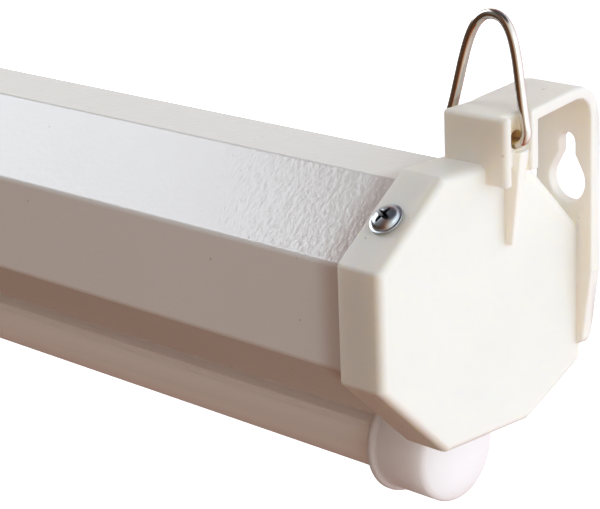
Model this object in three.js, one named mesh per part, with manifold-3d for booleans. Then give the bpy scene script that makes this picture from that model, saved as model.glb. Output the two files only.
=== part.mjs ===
// A pull down projector screen, in millimetres: +X to the audience's right, +Y to the wall, +Z up.
// The origin is on the wall, at mid-length, level with the fixing screws' seats in the keyholes.

import * as THREE from 'three';
import { mergeVertices } from 'three/addons/utils/BufferGeometryUtils.js';
import Module from 'manifold-3d';

const wasm = await Module();
wasm.setup();

// Clearances and joins
const seatGap = 0.3;
const cutOverrun = 2;
const joinOverlap = 0.6;
const weldDistance = 0.0001;

// Fabric, and how far past its edges the roller tube and then the caps' roller bosses begin
const fabricWidth = 1270;
const fabricThickness = 0.4;
const rollerPastFabric = 18;
const bossPastRoller = 18.3;

// Casing of bent sheet, its corner at the top rear set forward of the cap's
const sheetThickness = 0.8;
const slotWidth = 7.8;
const hemHeight = 5;
const casingRearSetback = 3.4;

// Where the middle of the cap's section lies from the wall and from the screws' seats
const wallToMiddle = 37;
const seatToMiddle = 33;

// End cap: an eight-sided cup, each slant given by its run front to back and its rise
const capHeight = 68;
const capWidth = 72.4;
const capDepth = 13.6;
const capEndWall = 3;
const capSkirt = 3;
const capEdgeRadius = 2.2;
const capCornerRadius = 1.6;
const frontUpperRun = 22.3;
const frontUpperRise = 18.1;
const frontLowerRun = 22.1;
const frontLowerRise = 20.9;
const rearLowerRun = 20.5;
const rearLowerRise = 10.5;
const rearUpperRun = 22.5;
const rearUpperRise = 23;

// The cap's spigot inside the casing, and the ribs behind its roller boss
const spigotReach = 6;
const spigotWall = 2;
const rollerBossRadius = 9;
const rollerBossReach = 9;
const ribThickness = 1.6;
const ribReach = 6;

// Ring block on top of the cap, measured from the cap's end face, top and middle
const blockFront = 0.4;
const blockRear = 14;
const blockAboveCap = 11.8;
const blockInner = 13.2;
const blockInnerRear = 14.2;
const slotFloor = 3;
const slotRear = 11.5;
const shoulderReach = 6.2;
const shoulderThickness = 2.3;
const shoulderBelowTop = 4.8;
const ringHoleRadius = 2.3;

// Gusset rib below the ring hole, on the end face
const gussetFront = 6.9;
const gussetAboveCap = 2.4;
const gussetTopWidth = 7.4;
const gussetTopReach = 5.2;
const gussetTipBelowTop = 20.7;
const gussetTipWidth = 2.7;
const gussetTipReach = 2.3;

// Arm and wall plate, one bent strip, with a keyhole; the arm climbs from the block to the wall
const armThickness = 3;
const armClimb = THREE.MathUtils.degToRad(8);
const armOuter = 4.7;
const plateThickness = 3.3;
const plateInner = 12.4;
const plateBottom = -18.8;
const plateTaperStart = 1;
const plateTaper = 3;
const plateCornerRadius = 2;
const bendRadius = 8;
const bendInnerRadius = 4.6;
const keyholeOffset = 2.95;
const keyholeRadius = 5.45;
const keyholeDrop = 9.6;
const keySlotWidth = 4.9;
const keyShoulderAngle = THREE.MathUtils.degToRad(30);
const fixingShankRadius = 2.2;

// Pan-head screws: two hold each cap, smaller ones hold the handle
const capScrewInset = 7.8;
const capScrew = { head: 4.3, rise: 2.3, rim: 0.7, shank: 2, length: 12, point: 2, arm: 4.4, slit: 1, deep: 1.5 };
const handleScrew = { head: 3.2, rise: 2, rim: 0.6, shank: 1.4, length: 6, point: 1.2, arm: 3, slit: 0.7, deep: 1.1 };
const screwBossRadius = 4;
const screwBossReach = 7.4;

// Hanger ring of bent wire, leaning back on the arm by ringLean
const wireRadius = 1.25;
const ringFromEndFace = 5.8;
const ringHingeDepth = 8;
const ringHingeAboveCap = 4.5;
const ringTopRadius = 6.5;
const ringTopHeight = 22.9;
const ringLegAngle = THREE.MathUtils.degToRad(14.5);
const ringLean = THREE.MathUtils.degToRad(4.5);
const ringBendRadius = 2.6;
const ringEndGap = 1;

// Roller and wound fabric
const woundRadius = 18.4;
const rollerRadius = 14;
const rollerWall = 0.8;
const rollerAxisHeight = 1;
const fabricPlane = 10;
const plugFlange = 2;
const plugReach = 16;
const plugBore = 10;
const plugWall = 3;
const idlePinRadius = 3;
const idlePinFromWall = 3;
const idlePinInPlug = 12;
const bushWall = 2;
const bushLength = 8;

// Spring spindle: flat tongue, shoulder, notched collar, neck and arbor
const tongueWidth = 6.4;
const tongueThickness = 2.2;
const tongueReach = 8;
const spindleShoulder = 7.2;
const spindleShoulderLength = 2;
const collarRadius = 6;
const arborRadius = 3;
const arborLength = 150;
const springSeatRadius = 5.7;
const springSeatLength = 8;

// Pawls on the ratchet head
const pawlPivotRadius = 10;
const pawlPivotAngle = THREE.MathUtils.degToRad(150);
const pawlLift = THREE.MathUtils.degToRad(16);
const pawlLength = 8.4;
const pawlDrop = 0.4;
const pawlBossRadius = 2.3;
const pawlNose = 1.8;
const pawlThickness = 3;
const pawlPinRadius = 1.1;
const pawlPinReach = 4.4;
const pawlPinInHead = 5;
const notchDepth = 1.7;
const notchClearance = 0.5;

// Torsion spring round the arbor
const springTurns = 22;
const springWire = 1;
const springPitch = 2.8;
const springStepsPerTurn = 8;
const springSides = 5;

// Weight bar, its hem rod and its end plugs
const barRadius = 10.5;
const barWall = 1.2;
const barSlot = 2;
const barBelowCap = 1.1;
const barRidgeAngle = THREE.MathUtils.degToRad(29);
const barRidgeStep = 0.5;
const barLipHalf = 2.6;
const hemRodRadius = 2.2;
const hemRodShort = 1;
const barPlugFromEndFace = 18.9;
const barPlugBody = 16.3;
const barPlugFlange = 2;
const barPlugRadius = 13.3;
const barFlangeRadius = 14.5;
const barPlugEdge = 1.4;
const barSpigotRadius = 7.3;
const barSpigotLength = 9;
const barSpigotChamfer = 1;

// Pull handle at the middle of the bar
const saddleLength = 62;
const saddleWall = 2.4;
const saddleSpan = THREE.MathUtils.degToRad(75);
const gripWidth = 74;
const gripDrop = 30;
const gripThickness = 7;
const gripDepth = 9;
const gripCorner = 12;
const handleScrewSpread = 22;
const handleScrewAngle = THREE.MathUtils.degToRad(-135);

// How far each screw's cross recess is turned about its axis
const capRecessTurn = THREE.MathUtils.degToRad(67);
const handleRecessTurn = THREE.MathUtils.degToRad(15);

// Facets
const roundSides = 32;
const smallSides = 16;
const arcSteps = 3;
const edgeSteps = 4;
const wireSides = 8;
const wireSteps = 44;

// Places that follow from the sizes above
const rollerEnd = fabricWidth / 2 + rollerPastFabric;
const bossFace = rollerEnd + bossPastRoller;
const halfSpan = bossFace + rollerBossReach + capEndWall;
const casingEnd = halfSpan - capEndWall - seatGap;
const casingInset = capSkirt + seatGap;
const spigotInset = sheetThickness + seatGap;
const rollerDepth = fabricPlane - fabricThickness / 2 - seatGap - woundRadius;
const barTubeEnd = halfSpan - barPlugFromEndFace - barPlugBody - barPlugFlange - seatGap;
const capTop = capHeight / 2;
const barHeight = -capTop - barBelowCap - barRadius;
const blockTop = capTop + blockAboveCap;
const shoulderBottom = capTop - shoulderBelowTop;
const gussetTop = capTop + gussetAboveCap;
const gussetTip = capTop - gussetTipBelowTop;
const ringHingeHeight = capTop + ringHingeAboveCap;
const ringHoleHeight = ringHingeHeight + ringHoleRadius - wireRadius - seatGap;
const plateRear = wallToMiddle;
const plateFront = plateRear - plateThickness;
const tubeInside = rollerRadius - rollerWall;
const plugRadius = tubeInside - seatGap;

const finishes = {
  cap: { color: 0xefece2, roughness: 0.5, metalness: 0 },
  steel: { color: 0xe4e3de, roughness: 0.3, metalness: 0.1 },
  zinc: { color: 0xb9bcbe, roughness: 0.28, metalness: 1 },
  wire: { color: 0xb3a79c, roughness: 0.2, metalness: 1 },
  bar: { color: 0xc9c3ba, roughness: 0.45, metalness: 0.1 },
  plug: { color: 0xf6f7fb, roughness: 0.4, metalness: 0 },
  fabric: { color: 0xf4f4f2, roughness: 0.95, metalness: 0 },
  roller: { color: 0xa9adb0, roughness: 0.4, metalness: 0.9 },
  nylon: { color: 0xe8e6dc, roughness: 0.5, metalness: 0 },
  handle: { color: 0xe9e9ea, roughness: 0.4, metalness: 0 },
  spring: { color: 0x6f7275, roughness: 0.35, metalness: 1 },
};

const axisX = new THREE.Vector3(1, 0, 0);
const axisY = new THREE.Vector3(0, 1, 0);
const axisZ = new THREE.Vector3(0, 0, 1);

// Outlines are lists of points. In a section across the casing a point is [y, z], anticlockwise seen from +X.

function insetOutline(points, distance) {
  return points.map((point, i) => {
    const before = points[(i + points.length - 1) % points.length];
    const after = points[(i + 1) % points.length];
    const into = new THREE.Vector2(point[0] - before[0], point[1] - before[1]).normalize();
    const out = new THREE.Vector2(after[0] - point[0], after[1] - point[1]).normalize();
    const scale = distance / (1 + into.dot(out));
    return [point[0] - (into.y + out.y) * scale, point[1] + (into.x + out.x) * scale];
  });
}

// Rounds an outline's corners, all alike or each by its own radius; a corner of radius 0 stays as it is
function roundOutline(points, radii, steps = arcSteps) {
  return points.flatMap((point, i) => {
    const radius = Array.isArray(radii) ? radii[i] : radii;
    if (radius === 0) return [point];
    const before = points[(i + points.length - 1) % points.length];
    const after = points[(i + 1) % points.length];
    const into = new THREE.Vector2(point[0] - before[0], point[1] - before[1]).normalize();
    const out = new THREE.Vector2(after[0] - point[0], after[1] - point[1]).normalize();
    const turn = Math.atan2(into.cross(out), into.dot(out));
    const side = Math.sign(turn);
    const tangent = radius * Math.tan(Math.abs(turn) / 2);
    const start = new THREE.Vector2(point[0], point[1]).addScaledVector(into, -tangent);
    const centre = new THREE.Vector2(-into.y, into.x).multiplyScalar(side * radius).add(start);
    return Array.from({ length: steps + 1 }, (_, k) => {
      const spoke = start.clone().sub(centre).rotateAround(new THREE.Vector2(), (turn * k) / steps);
      return [centre.x + spoke.x, centre.y + spoke.y];
    });
  });
}

function arcPoints(centre, radius, from, to, steps) {
  return Array.from({ length: steps + 1 }, (_, k) => {
    const angle = from + ((to - from) * k) / steps;
    return [centre[0] + radius * Math.cos(angle), centre[1] + radius * Math.sin(angle)];
  });
}

function circlePoints(centre, radius, sides) {
  return arcPoints(centre, radius, 0, 2 * Math.PI, sides).slice(0, sides);
}

function rectangle(low, high) {
  return [[low[0], low[1]], [high[0], low[1]], [high[0], high[1]], [low[0], high[1]]];
}

// The cap's outer section: front-upper slant first, then down the front, along the bottom and up the rear.
function capOutline() {
  const side = capWidth / 2;
  return [
    [-side + frontUpperRun, capTop],
    [-side, capTop - frontUpperRise],
    [-side, -capTop + frontLowerRise],
    [-side + frontLowerRun, -capTop],
    [side - rearLowerRun, -capTop],
    [side, -capTop + rearLowerRise],
    [side, capTop - rearUpperRise],
    [side - rearUpperRun, capTop],
  ];
}

// The casing's outer section lies inside the cap's skirt
const topRearCorner = 7;

function casingOutline() {
  const outline = insetOutline(capOutline(), casingInset);
  outline[topRearCorner][0] -= casingRearSetback;
  return outline;
}

// The middle of one facet of the cap and the way it faces, in the casing's section
function facet(index) {
  const outline = capOutline();
  const start = outline[index];
  const end = outline[(index + 1) % outline.length];
  const along = new THREE.Vector2(end[0] - start[0], end[1] - start[1]).normalize();
  return {
    middle: new THREE.Vector3(0, (start[0] + end[0]) / 2, (start[1] + end[1]) / 2),
    normal: new THREE.Vector3(0, along.y, -along.x),
  };
}

const frontUpperFacet = 0;
const rearLowerFacet = 4;
const screwFacets = { front: facet(frontUpperFacet), rear: facet(rearLowerFacet) };

// Solids

function signedVolume(positions, index) {
  const [a, b, c] = [new THREE.Vector3(), new THREE.Vector3(), new THREE.Vector3()];
  let sum = 0;
  for (let i = 0; i < index.length; i += 3) {
    a.fromArray(positions, 3 * index[i]);
    b.fromArray(positions, 3 * index[i + 1]);
    c.fromArray(positions, 3 * index[i + 2]);
    sum += a.dot(b.cross(c));
  }
  return sum;
}

function solid(geometry) {
  geometry.deleteAttribute('normal');
  geometry.deleteAttribute('uv');
  const merged = mergeVertices(geometry, weldDistance);
  const positions = merged.attributes.position.array;
  const index = [];
  for (let i = 0; i < merged.index.count; i += 3) {
    const [a, b, c] = merged.index.array.slice(i, i + 3);
    if (a !== b && b !== c && c !== a) index.push(a, b, c);
  }
  if (signedVolume(positions, index) < 0) index.reverse();
  const triVerts = Uint32Array.from(index);
  const vertProperties = Float32Array.from(positions);
  return new wasm.Manifold(new wasm.Mesh({ numProp: 3, vertProperties, triVerts }));
}

function prism(outline, from, to, basis, holes) {
  const toPoint = ([u, v]) => new THREE.Vector2(u, v);
  const shape = new THREE.Shape(outline.map(toPoint));
  shape.holes = holes.map((hole) => new THREE.Path(hole.map(toPoint)));
  const geometry = new THREE.ExtrudeGeometry(shape, { depth: to - from, bevelEnabled: false });
  geometry.translate(0, 0, from);
  geometry.applyMatrix4(basis);
  return solid(geometry);
}

const sectionBasis = new THREE.Matrix4().makeBasis(axisY, axisZ, axisX);
const frontBasis = new THREE.Matrix4().makeBasis(axisZ, axisX, axisY);
const planBasis = new THREE.Matrix4();

// prismX takes [y, z] outlines, prismY [x, z] outlines and prismZ [x, y] outlines
const prismX = (outline, from, to, holes = []) => prism(outline, from, to, sectionBasis, holes);
const prismY = (outline, from, to) => prism(outline.map(([x, z]) => [z, x]), from, to, frontBasis, []);
const prismZ = (outline, from, to) => prism(outline, from, to, planBasis, []);

function cylinderX(radius, from, to, depth, height, sides = roundSides) {
  const geometry = new THREE.CylinderGeometry(radius, radius, to - from, sides);
  geometry.rotateZ(-Math.PI / 2);
  geometry.translate((from + to) / 2, depth, height);
  return solid(geometry);
}

// A turned piece: the profile's points are [distance along the axis, radius], from axis to axis
function turned(profile, direction, base, sides = roundSides) {
  const geometry = new THREE.LatheGeometry(profile.map(([along, r]) => new THREE.Vector2(r, along)), sides);
  geometry.applyQuaternion(new THREE.Quaternion().setFromUnitVectors(axisY, direction));
  geometry.translate(base.x, base.y, base.z);
  return solid(geometry);
}

// Sections of equal point counts, joined along X, each { x, outline } with x rising
function loftX(sections) {
  const count = sections[0].outline.length;
  const positions = sections.flatMap(({ x, outline }) => outline.flatMap(([y, z]) => [x, y, z]));
  const index = [];
  for (let s = 0; s + 1 < sections.length; s++) {
    for (let k = 0; k < count; k++) {
      const next = (k + 1) % count;
      const [a, b] = [s * count + k, s * count + next];
      index.push(a, b, b + count, a, b + count, a + count);
    }
  }
  const ends = THREE.ShapeUtils.triangulateShape(sections[0].outline.map(([u, v]) => new THREE.Vector2(u, v)), []);
  const last = (sections.length - 1) * count;
  const turns = ([a, b, c]) => {
    const [p, q, r] = [a, b, c].map((i) => sections[0].outline[i]);
    return (q[0] - p[0]) * (r[1] - p[1]) - (q[1] - p[1]) * (r[0] - p[0]) > 0;
  };
  for (const face of ends) {
    const [a, b, c] = turns(face) ? face : [face[0], face[2], face[1]];
    index.push(last + a, last + b, last + c, a, c, b);
  }
  const geometry = new THREE.BufferGeometry();
  geometry.setAttribute('position', new THREE.Float32BufferAttribute(positions, 3));
  geometry.setIndex(index);
  return solid(geometry);
}

function sweep(curve, radius, sides, steps) {
  const section = new THREE.Shape(circlePoints([0, 0], radius, sides).map(([u, v]) => new THREE.Vector2(u, v)));
  return solid(new THREE.ExtrudeGeometry(section, { steps, bevelEnabled: false, extrudePath: curve }));
}

function unite(first, ...others) {
  return others.reduce((whole, piece) => whole.add(piece), first);
}

function cut(first, ...tools) {
  return tools.reduce((whole, tool) => whole.subtract(tool), first);
}

function piece(name, body, finish, mirrored = false) {
  const { vertProperties, triVerts } = body.getMesh();
  const geometry = new THREE.BufferGeometry();
  geometry.setAttribute('position', new THREE.BufferAttribute(Float32Array.from(vertProperties), 3));
  geometry.setIndex(Array.from(triVerts));
  if (mirrored) {
    geometry.scale(-1, 1, 1);
    geometry.index.array.reverse();
  }
  geometry.computeVertexNormals();
  const mesh = new THREE.Mesh(geometry, new THREE.MeshStandardMaterial(finish));
  mesh.name = name;
  return mesh;
}

// Casing

function screwHole(place) {
  const radius = capScrew.shank + seatGap;
  const length = capScrew.length + capSkirt;
  const inward = place.normal.clone().negate();
  const base = place.middle.clone().addScaledVector(place.normal, cutOverrun);
  return turned([[0, 0], [0, radius], [length, radius], [length, 0]], inward, base, smallSides);
}

function casing() {
  const end = casingEnd;
  const outer = casingOutline();
  const inner = insetOutline(outer, sheetThickness);
  const bottom = outer[3][1];
  const slotFront = fabricPlane - slotWidth / 2;
  const slotBack = fabricPlane + slotWidth / 2;
  const hemTop = bottom + hemHeight;
  const slot = prismX(
    rectangle([slotFront, bottom - cutOverrun], [slotBack, hemTop]), -end - cutOverrun, end + cutOverrun);
  const hems = [slotFront - sheetThickness, slotBack].map((y) =>
    prismX(rectangle([y, bottom + sheetThickness / 2], [y + sheetThickness, hemTop]), -end, end));
  const screwX = halfSpan - capScrewInset;
  const holes = [-screwX, screwX].flatMap((x) =>
    Object.values(screwFacets).map((place) => screwHole(place).translate([x, 0, 0])));
  return cut(unite(prismX(outer, -end, end, [inner]), ...hems), slot, ...holes);
}

// End cap: built for the right-hand end, with its end face at x = 0

function capCup() {
  const sections = [{ x: -capDepth, outline: capOutline() }];
  for (let k = 0; k <= edgeSteps; k++) {
    const angle = (Math.PI / 2) * (k / edgeSteps);
    const inset = capEdgeRadius * (1 - Math.cos(angle));
    sections.push({
      x: capEdgeRadius * (Math.sin(angle) - 1),
      outline: insetOutline(capOutline(), inset),
    });
  }
  const rounded = sections.map(({ x, outline }) => ({ x, outline: roundOutline(outline, capCornerRadius) }));
  const cavity = prismX(insetOutline(capOutline(), capSkirt), -capDepth - cutOverrun, -capEndWall);
  return cut(loftX(rounded), cavity);
}

function capSpigot() {
  const outer = insetOutline(casingOutline(), spigotInset);
  const inner = insetOutline(casingOutline(), spigotInset + spigotWall);
  const ring = prismX(outer, -capDepth - spigotReach, -capEndWall + joinOverlap, [inner]);
  const bottom = casingOutline()[3][1];
  const half = slotWidth / 2 + sheetThickness + seatGap;
  const hemRoom = prismX(
    rectangle([fabricPlane - half, bottom - cutOverrun], [fabricPlane + half, bottom + hemHeight + seatGap]),
    -capDepth - spigotReach - cutOverrun, -capEndWall);
  const bosses = Object.values(screwFacets).map((place) => {
    const inward = place.normal.clone().negate();
    const base = place.middle.clone().addScaledVector(inward, casingInset + spigotInset);
    base.x = -capScrewInset;
    const profile = [[0, 0], [0, screwBossRadius], [screwBossReach, screwBossRadius], [screwBossReach, 0]];
    return turned(profile, inward, base, smallSides);
  });
  return unite(cut(ring, hemRoom), ...bosses);
}

function rollerBoss(bore) {
  const boss = cylinderX(
    rollerBossRadius, -capEndWall - rollerBossReach, -capEndWall + joinOverlap, rollerDepth, rollerAxisHeight);
  const inside = insetOutline(casingOutline(), spigotInset + spigotWall / 2);
  const arms = prismX(inside, -capEndWall - ribReach, -capEndWall + joinOverlap);
  const half = ribThickness / 2;
  const low = inside[3][1];
  const high = inside[0][1];
  const [front, back] = [inside[1][0], inside[5][0]];
  const upright = rectangle([rollerDepth - half, low - cutOverrun], [rollerDepth + half, high + cutOverrun]);
  const level = rectangle(
    [front - cutOverrun, rollerAxisHeight - half], [back + cutOverrun, rollerAxisHeight + half]);
  const cross = unite(prismX(upright, -capDepth, 0), prismX(level, -capDepth, 0));
  return cut(unite(boss, arms.intersect(cross)), bore);
}

function ringBlock() {
  const bottom = capTop - capSkirt / 2;
  const main = prismZ([
    [-blockInner, blockFront],
    [slotFloor, blockFront],
    [slotFloor, blockRear],
    [-blockInnerRear, blockRear],
  ], bottom, blockTop);
  const rearPost = prismZ(
    rectangle([-joinOverlap, slotRear], [armOuter, blockRear]), gussetTop - gussetTopReach, blockTop);
  const shoulder = prismY(
    rectangle([-joinOverlap, shoulderBottom], [shoulderReach, blockTop]), blockFront, blockFront + shoulderThickness);
  return unite(main, rearPost, shoulder);
}

// Each level of the gusset is a quarter of an ellipse with its flat side to the front
function gusset() {
  const levels = edgeSteps + 1;
  const rings = Array.from({ length: levels }, (_, k) => {
    const share = k / (levels - 1);
    const width = THREE.MathUtils.lerp(gussetTipWidth, gussetTopWidth, share);
    const reach = THREE.MathUtils.lerp(gussetTipReach, gussetTopReach, share);
    const curve = arcPoints([0, 0], 1, 0, Math.PI / 2, edgeSteps)
      .map(([u, v]) => [u * reach, gussetFront + v * width]);
    return {
      height: THREE.MathUtils.lerp(gussetTip, gussetTop, share),
      outline: [[-joinOverlap, gussetFront], ...curve, [-joinOverlap, gussetFront + width]],
    };
  });
  const positions = rings.flatMap(({ height, outline }) => outline.flatMap(([x, y]) => [x, y, height]));
  const count = rings[0].outline.length;
  const index = [];
  for (let s = 0; s + 1 < levels; s++) {
    for (let k = 0; k < count; k++) {
      const [a, b] = [s * count + k, s * count + ((k + 1) % count)];
      index.push(a, b, b + count, a, b + count, a + count);
    }
  }
  const last = (levels - 1) * count;
  for (let k = 1; k + 1 < count; k++) index.push(0, k + 1, k, last, last + k, last + k + 1);
  const geometry = new THREE.BufferGeometry();
  geometry.setAttribute('position', new THREE.Float32BufferAttribute(positions, 3));
  geometry.setIndex(index);
  return solid(geometry);
}

function bracket() {
  const climb = (depth) => (depth - slotRear) * Math.tan(armClimb);
  const low = blockTop - armThickness / Math.cos(armClimb);
  const top = blockTop + climb(plateRear);
  const section = roundOutline([
    [slotRear, low],
    [plateFront, low + climb(plateFront)],
    [plateFront, plateBottom],
    [plateRear, plateBottom],
    [plateRear, top],
    [slotRear, blockTop],
  ], [0, bendInnerRadius, 0, 0, bendRadius, 0], edgeSteps);
  const strip = prismX(section, -blockInnerRear, armOuter);
  const plan = prismZ([
    [-blockInnerRear, 0],
    [armOuter, 0],
    [armOuter, plateRear + cutOverrun],
    [-plateInner, plateRear + cutOverrun],
    [-blockInnerRear, blockRear],
  ], plateBottom - cutOverrun, top + cutOverrun);
  const face = prismY(plateFace(top + cutOverrun), 0, plateRear + cutOverrun);
  return strip.intersect(plan).intersect(face);
}

function plateFace(top) {
  return roundOutline([
    [armOuter, top],
    [-blockInnerRear, top],
    [-blockInnerRear, plateTaperStart],
    [-plateInner, plateTaperStart - cutOverrun],
    [-plateInner, plateBottom],
    [armOuter - plateTaper, plateBottom],
    [armOuter, plateTaperStart],
  ], [0, 0, 0, 0, plateCornerRadius, plateCornerRadius, plateCornerRadius]);
}

function keyhole() {
  const seat = seatToMiddle;
  const slotTop = seat + fixingShankRadius - keySlotWidth / 2;
  const middle = slotTop - keyholeDrop;
  const half = keySlotWidth / 2;
  const shoulder = middle + (keyholeRadius - half * Math.cos(keyShoulderAngle)) / Math.sin(keyShoulderAngle);
  const outline = [
    ...arcPoints([-keyholeOffset, slotTop], half, 0, Math.PI, edgeSteps * 2),
    [-keyholeOffset - half, shoulder],
    ...arcPoints(
      [-keyholeOffset, middle], keyholeRadius, Math.PI - keyShoulderAngle, 2 * Math.PI + keyShoulderAngle,
      roundSides - edgeSteps * 2),
    [-keyholeOffset + half, shoulder],
  ];
  return prismY(outline, plateFront - cutOverrun, plateRear + cutOverrun);
}

function endCap(bore) {
  const hole = cylinderX(
    ringHoleRadius, -blockInnerRear - cutOverrun, slotFloor + cutOverrun, ringHingeDepth, ringHoleHeight,
    smallSides);
  const screwHoles = Object.values(screwFacets).map((place) => screwHole(place).translate([-capScrewInset, 0, 0]));
  const shell = unite(capCup(), capSpigot(), rollerBoss(bore), ringBlock(), gusset(), bracket());
  return cut(shell, hole, keyhole(), ...screwHoles);
}

function idleBore() {
  const radius = idlePinRadius + seatGap + bushWall + seatGap;
  return cylinderX(
    radius, -capEndWall - rollerBossReach - cutOverrun, -capEndWall, rollerDepth, rollerAxisHeight, roundSides);
}

function tongueBore() {
  const wide = tongueWidth / 2 + seatGap;
  const thick = tongueThickness / 2 + seatGap;
  return prismX(
    rectangle([rollerDepth - thick, rollerAxisHeight - wide], [rollerDepth + thick, rollerAxisHeight + wide]),
    -capEndWall - rollerBossReach - cutOverrun, -capEndWall);
}

// Screws

function panScrew(size, base, outward, recessTurn) {
  const dome = arcPoints([0, 0], 1, 0, Math.PI / 2, edgeSteps)
    .map(([u, v]) => [size.rim + v * (size.rise - size.rim), u * size.head]);
  const profile = [
    [-size.length, 0],
    [-size.length + size.point, size.shank],
    [0, size.shank],
    [0, size.head],
    ...dome,
  ];
  const body = turned(profile, axisZ, new THREE.Vector3(), smallSides);
  const arm = size.arm / 2;
  const slit = size.slit / 2;
  const floor = size.rise - size.deep;
  const cross = [
    prismZ(rectangle([-arm, -slit], [arm, slit]), floor, size.rise + cutOverrun),
    prismZ(rectangle([-slit, -arm], [slit, arm]), floor, size.rise + cutOverrun),
  ];
  const screw = cut(body, ...cross).rotate(0, 0, THREE.MathUtils.radToDeg(recessTurn));
  const turn = new THREE.Matrix4().makeRotationFromQuaternion(
    new THREE.Quaternion().setFromUnitVectors(axisZ, outward)).setPosition(base);
  return screw.transform(turn.elements);
}

function capScrewAt(place) {
  const base = place.middle.clone().addScaledVector(place.normal, seatGap);
  base.x = -capScrewInset;
  return panScrew(capScrew, base, place.normal, capRecessTurn);
}

// Hanger ring: both ends of the wire turn into the block's hole from outside

function ringCurve() {
  const [sin, cos] = [Math.sin(ringLegAngle), Math.cos(ringLegAngle)];
  const legAt = (height) => (ringTopRadius + (ringTopHeight - height) * sin) / cos;
  const bendX = legAt(ringBendRadius) - ringBendRadius / cos;
  const half = [
    [ringEndGap / 2, 0],
    [bendX / 2, 0],
    ...arcPoints([bendX, ringBendRadius], ringBendRadius, -Math.PI / 2, ringLegAngle, edgeSteps * 2),
  ];
  const legTop = [ringTopRadius * cos, ringTopHeight + ringTopRadius * sin];
  const legFoot = half[half.length - 1];
  const leg = Array.from({ length: edgeSteps - 1 }, (_, k) => {
    const share = (k + 1) / edgeSteps;
    return [
      THREE.MathUtils.lerp(legFoot[0], legTop[0], share),
      THREE.MathUtils.lerp(legFoot[1], legTop[1], share),
    ];
  });
  const crown = arcPoints([0, ringTopHeight], ringTopRadius, ringLegAngle, Math.PI / 2, edgeSteps * 2);
  const right = [...half, ...leg, ...crown];
  const left = right.slice(0, -1).reverse().map(([u, v]) => [-u, v]);
  const points = [...right, ...left].map(([u, v]) => new THREE.Vector3(u, v * Math.sin(ringLean), v * Math.cos(ringLean)));
  return new THREE.CatmullRomCurve3(points, false, 'centripetal');
}

function hangerRing() {
  return sweep(ringCurve(), wireRadius, wireSides, wireSteps)
    .translate([-ringFromEndFace, ringHingeDepth, ringHingeHeight]);
}

// Roller, fabric and spring

const tube = (outer, inner, from, to, depth, height) =>
  prismX(circlePoints([depth, height], outer, roundSides), from, to, [circlePoints([depth, height], inner, roundSides)]);

const rollerTube = () =>
  tube(rollerRadius, tubeInside, -rollerEnd, rollerEnd, rollerDepth, rollerAxisHeight);

const fabricRoll = () =>
  tube(woundRadius, rollerRadius + seatGap, -fabricWidth / 2, fabricWidth / 2, rollerDepth, rollerAxisHeight);

function fabricDrop() {
  const half = fabricThickness / 2;
  const foot = barHeight + hemRodHeight() + hemRodRadius + seatGap;
  return prismX(
    rectangle([fabricPlane - half, foot], [fabricPlane + half, rollerAxisHeight]), -fabricWidth / 2, fabricWidth / 2);
}

function onRollerAxis(profile, sides = roundSides) {
  return turned(profile, axisX, new THREE.Vector3(0, rollerDepth, rollerAxisHeight), sides);
}

function idlePlug() {
  const outside = rollerEnd + seatGap;
  const bore = idlePinRadius + seatGap;
  return onRollerAxis([
    [outside - plugReach, plugRadius - plugWall],
    [outside - plugReach, plugRadius],
    [outside, plugRadius],
    [outside, rollerRadius],
    [outside + plugFlange, rollerRadius],
    [outside + plugFlange, bore],
    [outside - idlePinInPlug, bore],
    [outside - idlePinInPlug, plugRadius - plugWall],
    [outside - plugReach, plugRadius - plugWall],
  ]);
}

function idlePin() {
  const start = rollerEnd + seatGap - idlePinInPlug;
  const end = halfSpan - capEndWall - idlePinFromWall;
  const chamfer = idlePinRadius / 3;
  return onRollerAxis([
    [start, 0],
    [start, idlePinRadius],
    [end - chamfer, idlePinRadius],
    [end, idlePinRadius - chamfer],
    [end, 0],
  ], smallSides);
}

function idleBush() {
  const inner = idlePinRadius + seatGap;
  const from = bossFace + seatGap;
  return tube(inner + bushWall, inner, from, from + bushLength, rollerDepth, rollerAxisHeight);
}

// A pawl lies in the section plane. Its pivot is pawlPivotRadius from the roller's axis, and seen from +X its nose
// drops towards the axis by pawlLift to lock. turn is half a turn for the lower pawl.
function pawlPivot(turn) {
  const angle = pawlPivotAngle + turn;
  return [rollerDepth + pawlPivotRadius * Math.cos(angle), rollerAxisHeight + pawlPivotRadius * Math.sin(angle)];
}

// Places along X on the spring side, counted outwards from the end of the tube
const headOutside = rollerEnd + seatGap + plugFlange;
const pawlInside = headOutside + seatGap;
const pawlOutside = pawlInside + pawlThickness;
const collarOutside = bossFace - seatGap - spindleShoulderLength;

function pawlOutline(lift) {
  const boss = arcPoints([0, 0], pawlBossRadius, Math.PI / 2, (3 * Math.PI) / 2, edgeSteps * 2);
  const nose = [
    [pawlLength, -pawlDrop],
    [pawlLength, -pawlDrop + pawlNose],
  ];
  return [...boss, ...nose].map(([u, v]) => [
    u * Math.cos(lift) - v * Math.sin(lift),
    u * Math.sin(lift) + v * Math.cos(lift),
  ]);
}

function pawl(turn) {
  const outline = pawlOutline(pawlLift).map(([u, v]) => [
    u * Math.cos(turn) - v * Math.sin(turn) + pawlPivot(turn)[0],
    u * Math.sin(turn) + v * Math.cos(turn) + pawlPivot(turn)[1],
  ]);
  const hole = circlePoints(pawlPivot(turn), pawlPinRadius + seatGap, smallSides);
  return prismX(outline, -pawlOutside, -pawlInside, [hole]);
}

function pawlPin(turn) {
  const [depth, height] = pawlPivot(turn);
  const from = -headOutside - pawlPinReach;
  return cylinderX(pawlPinRadius, from, -headOutside + pawlPinInHead, depth, height, smallSides);
}

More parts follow.
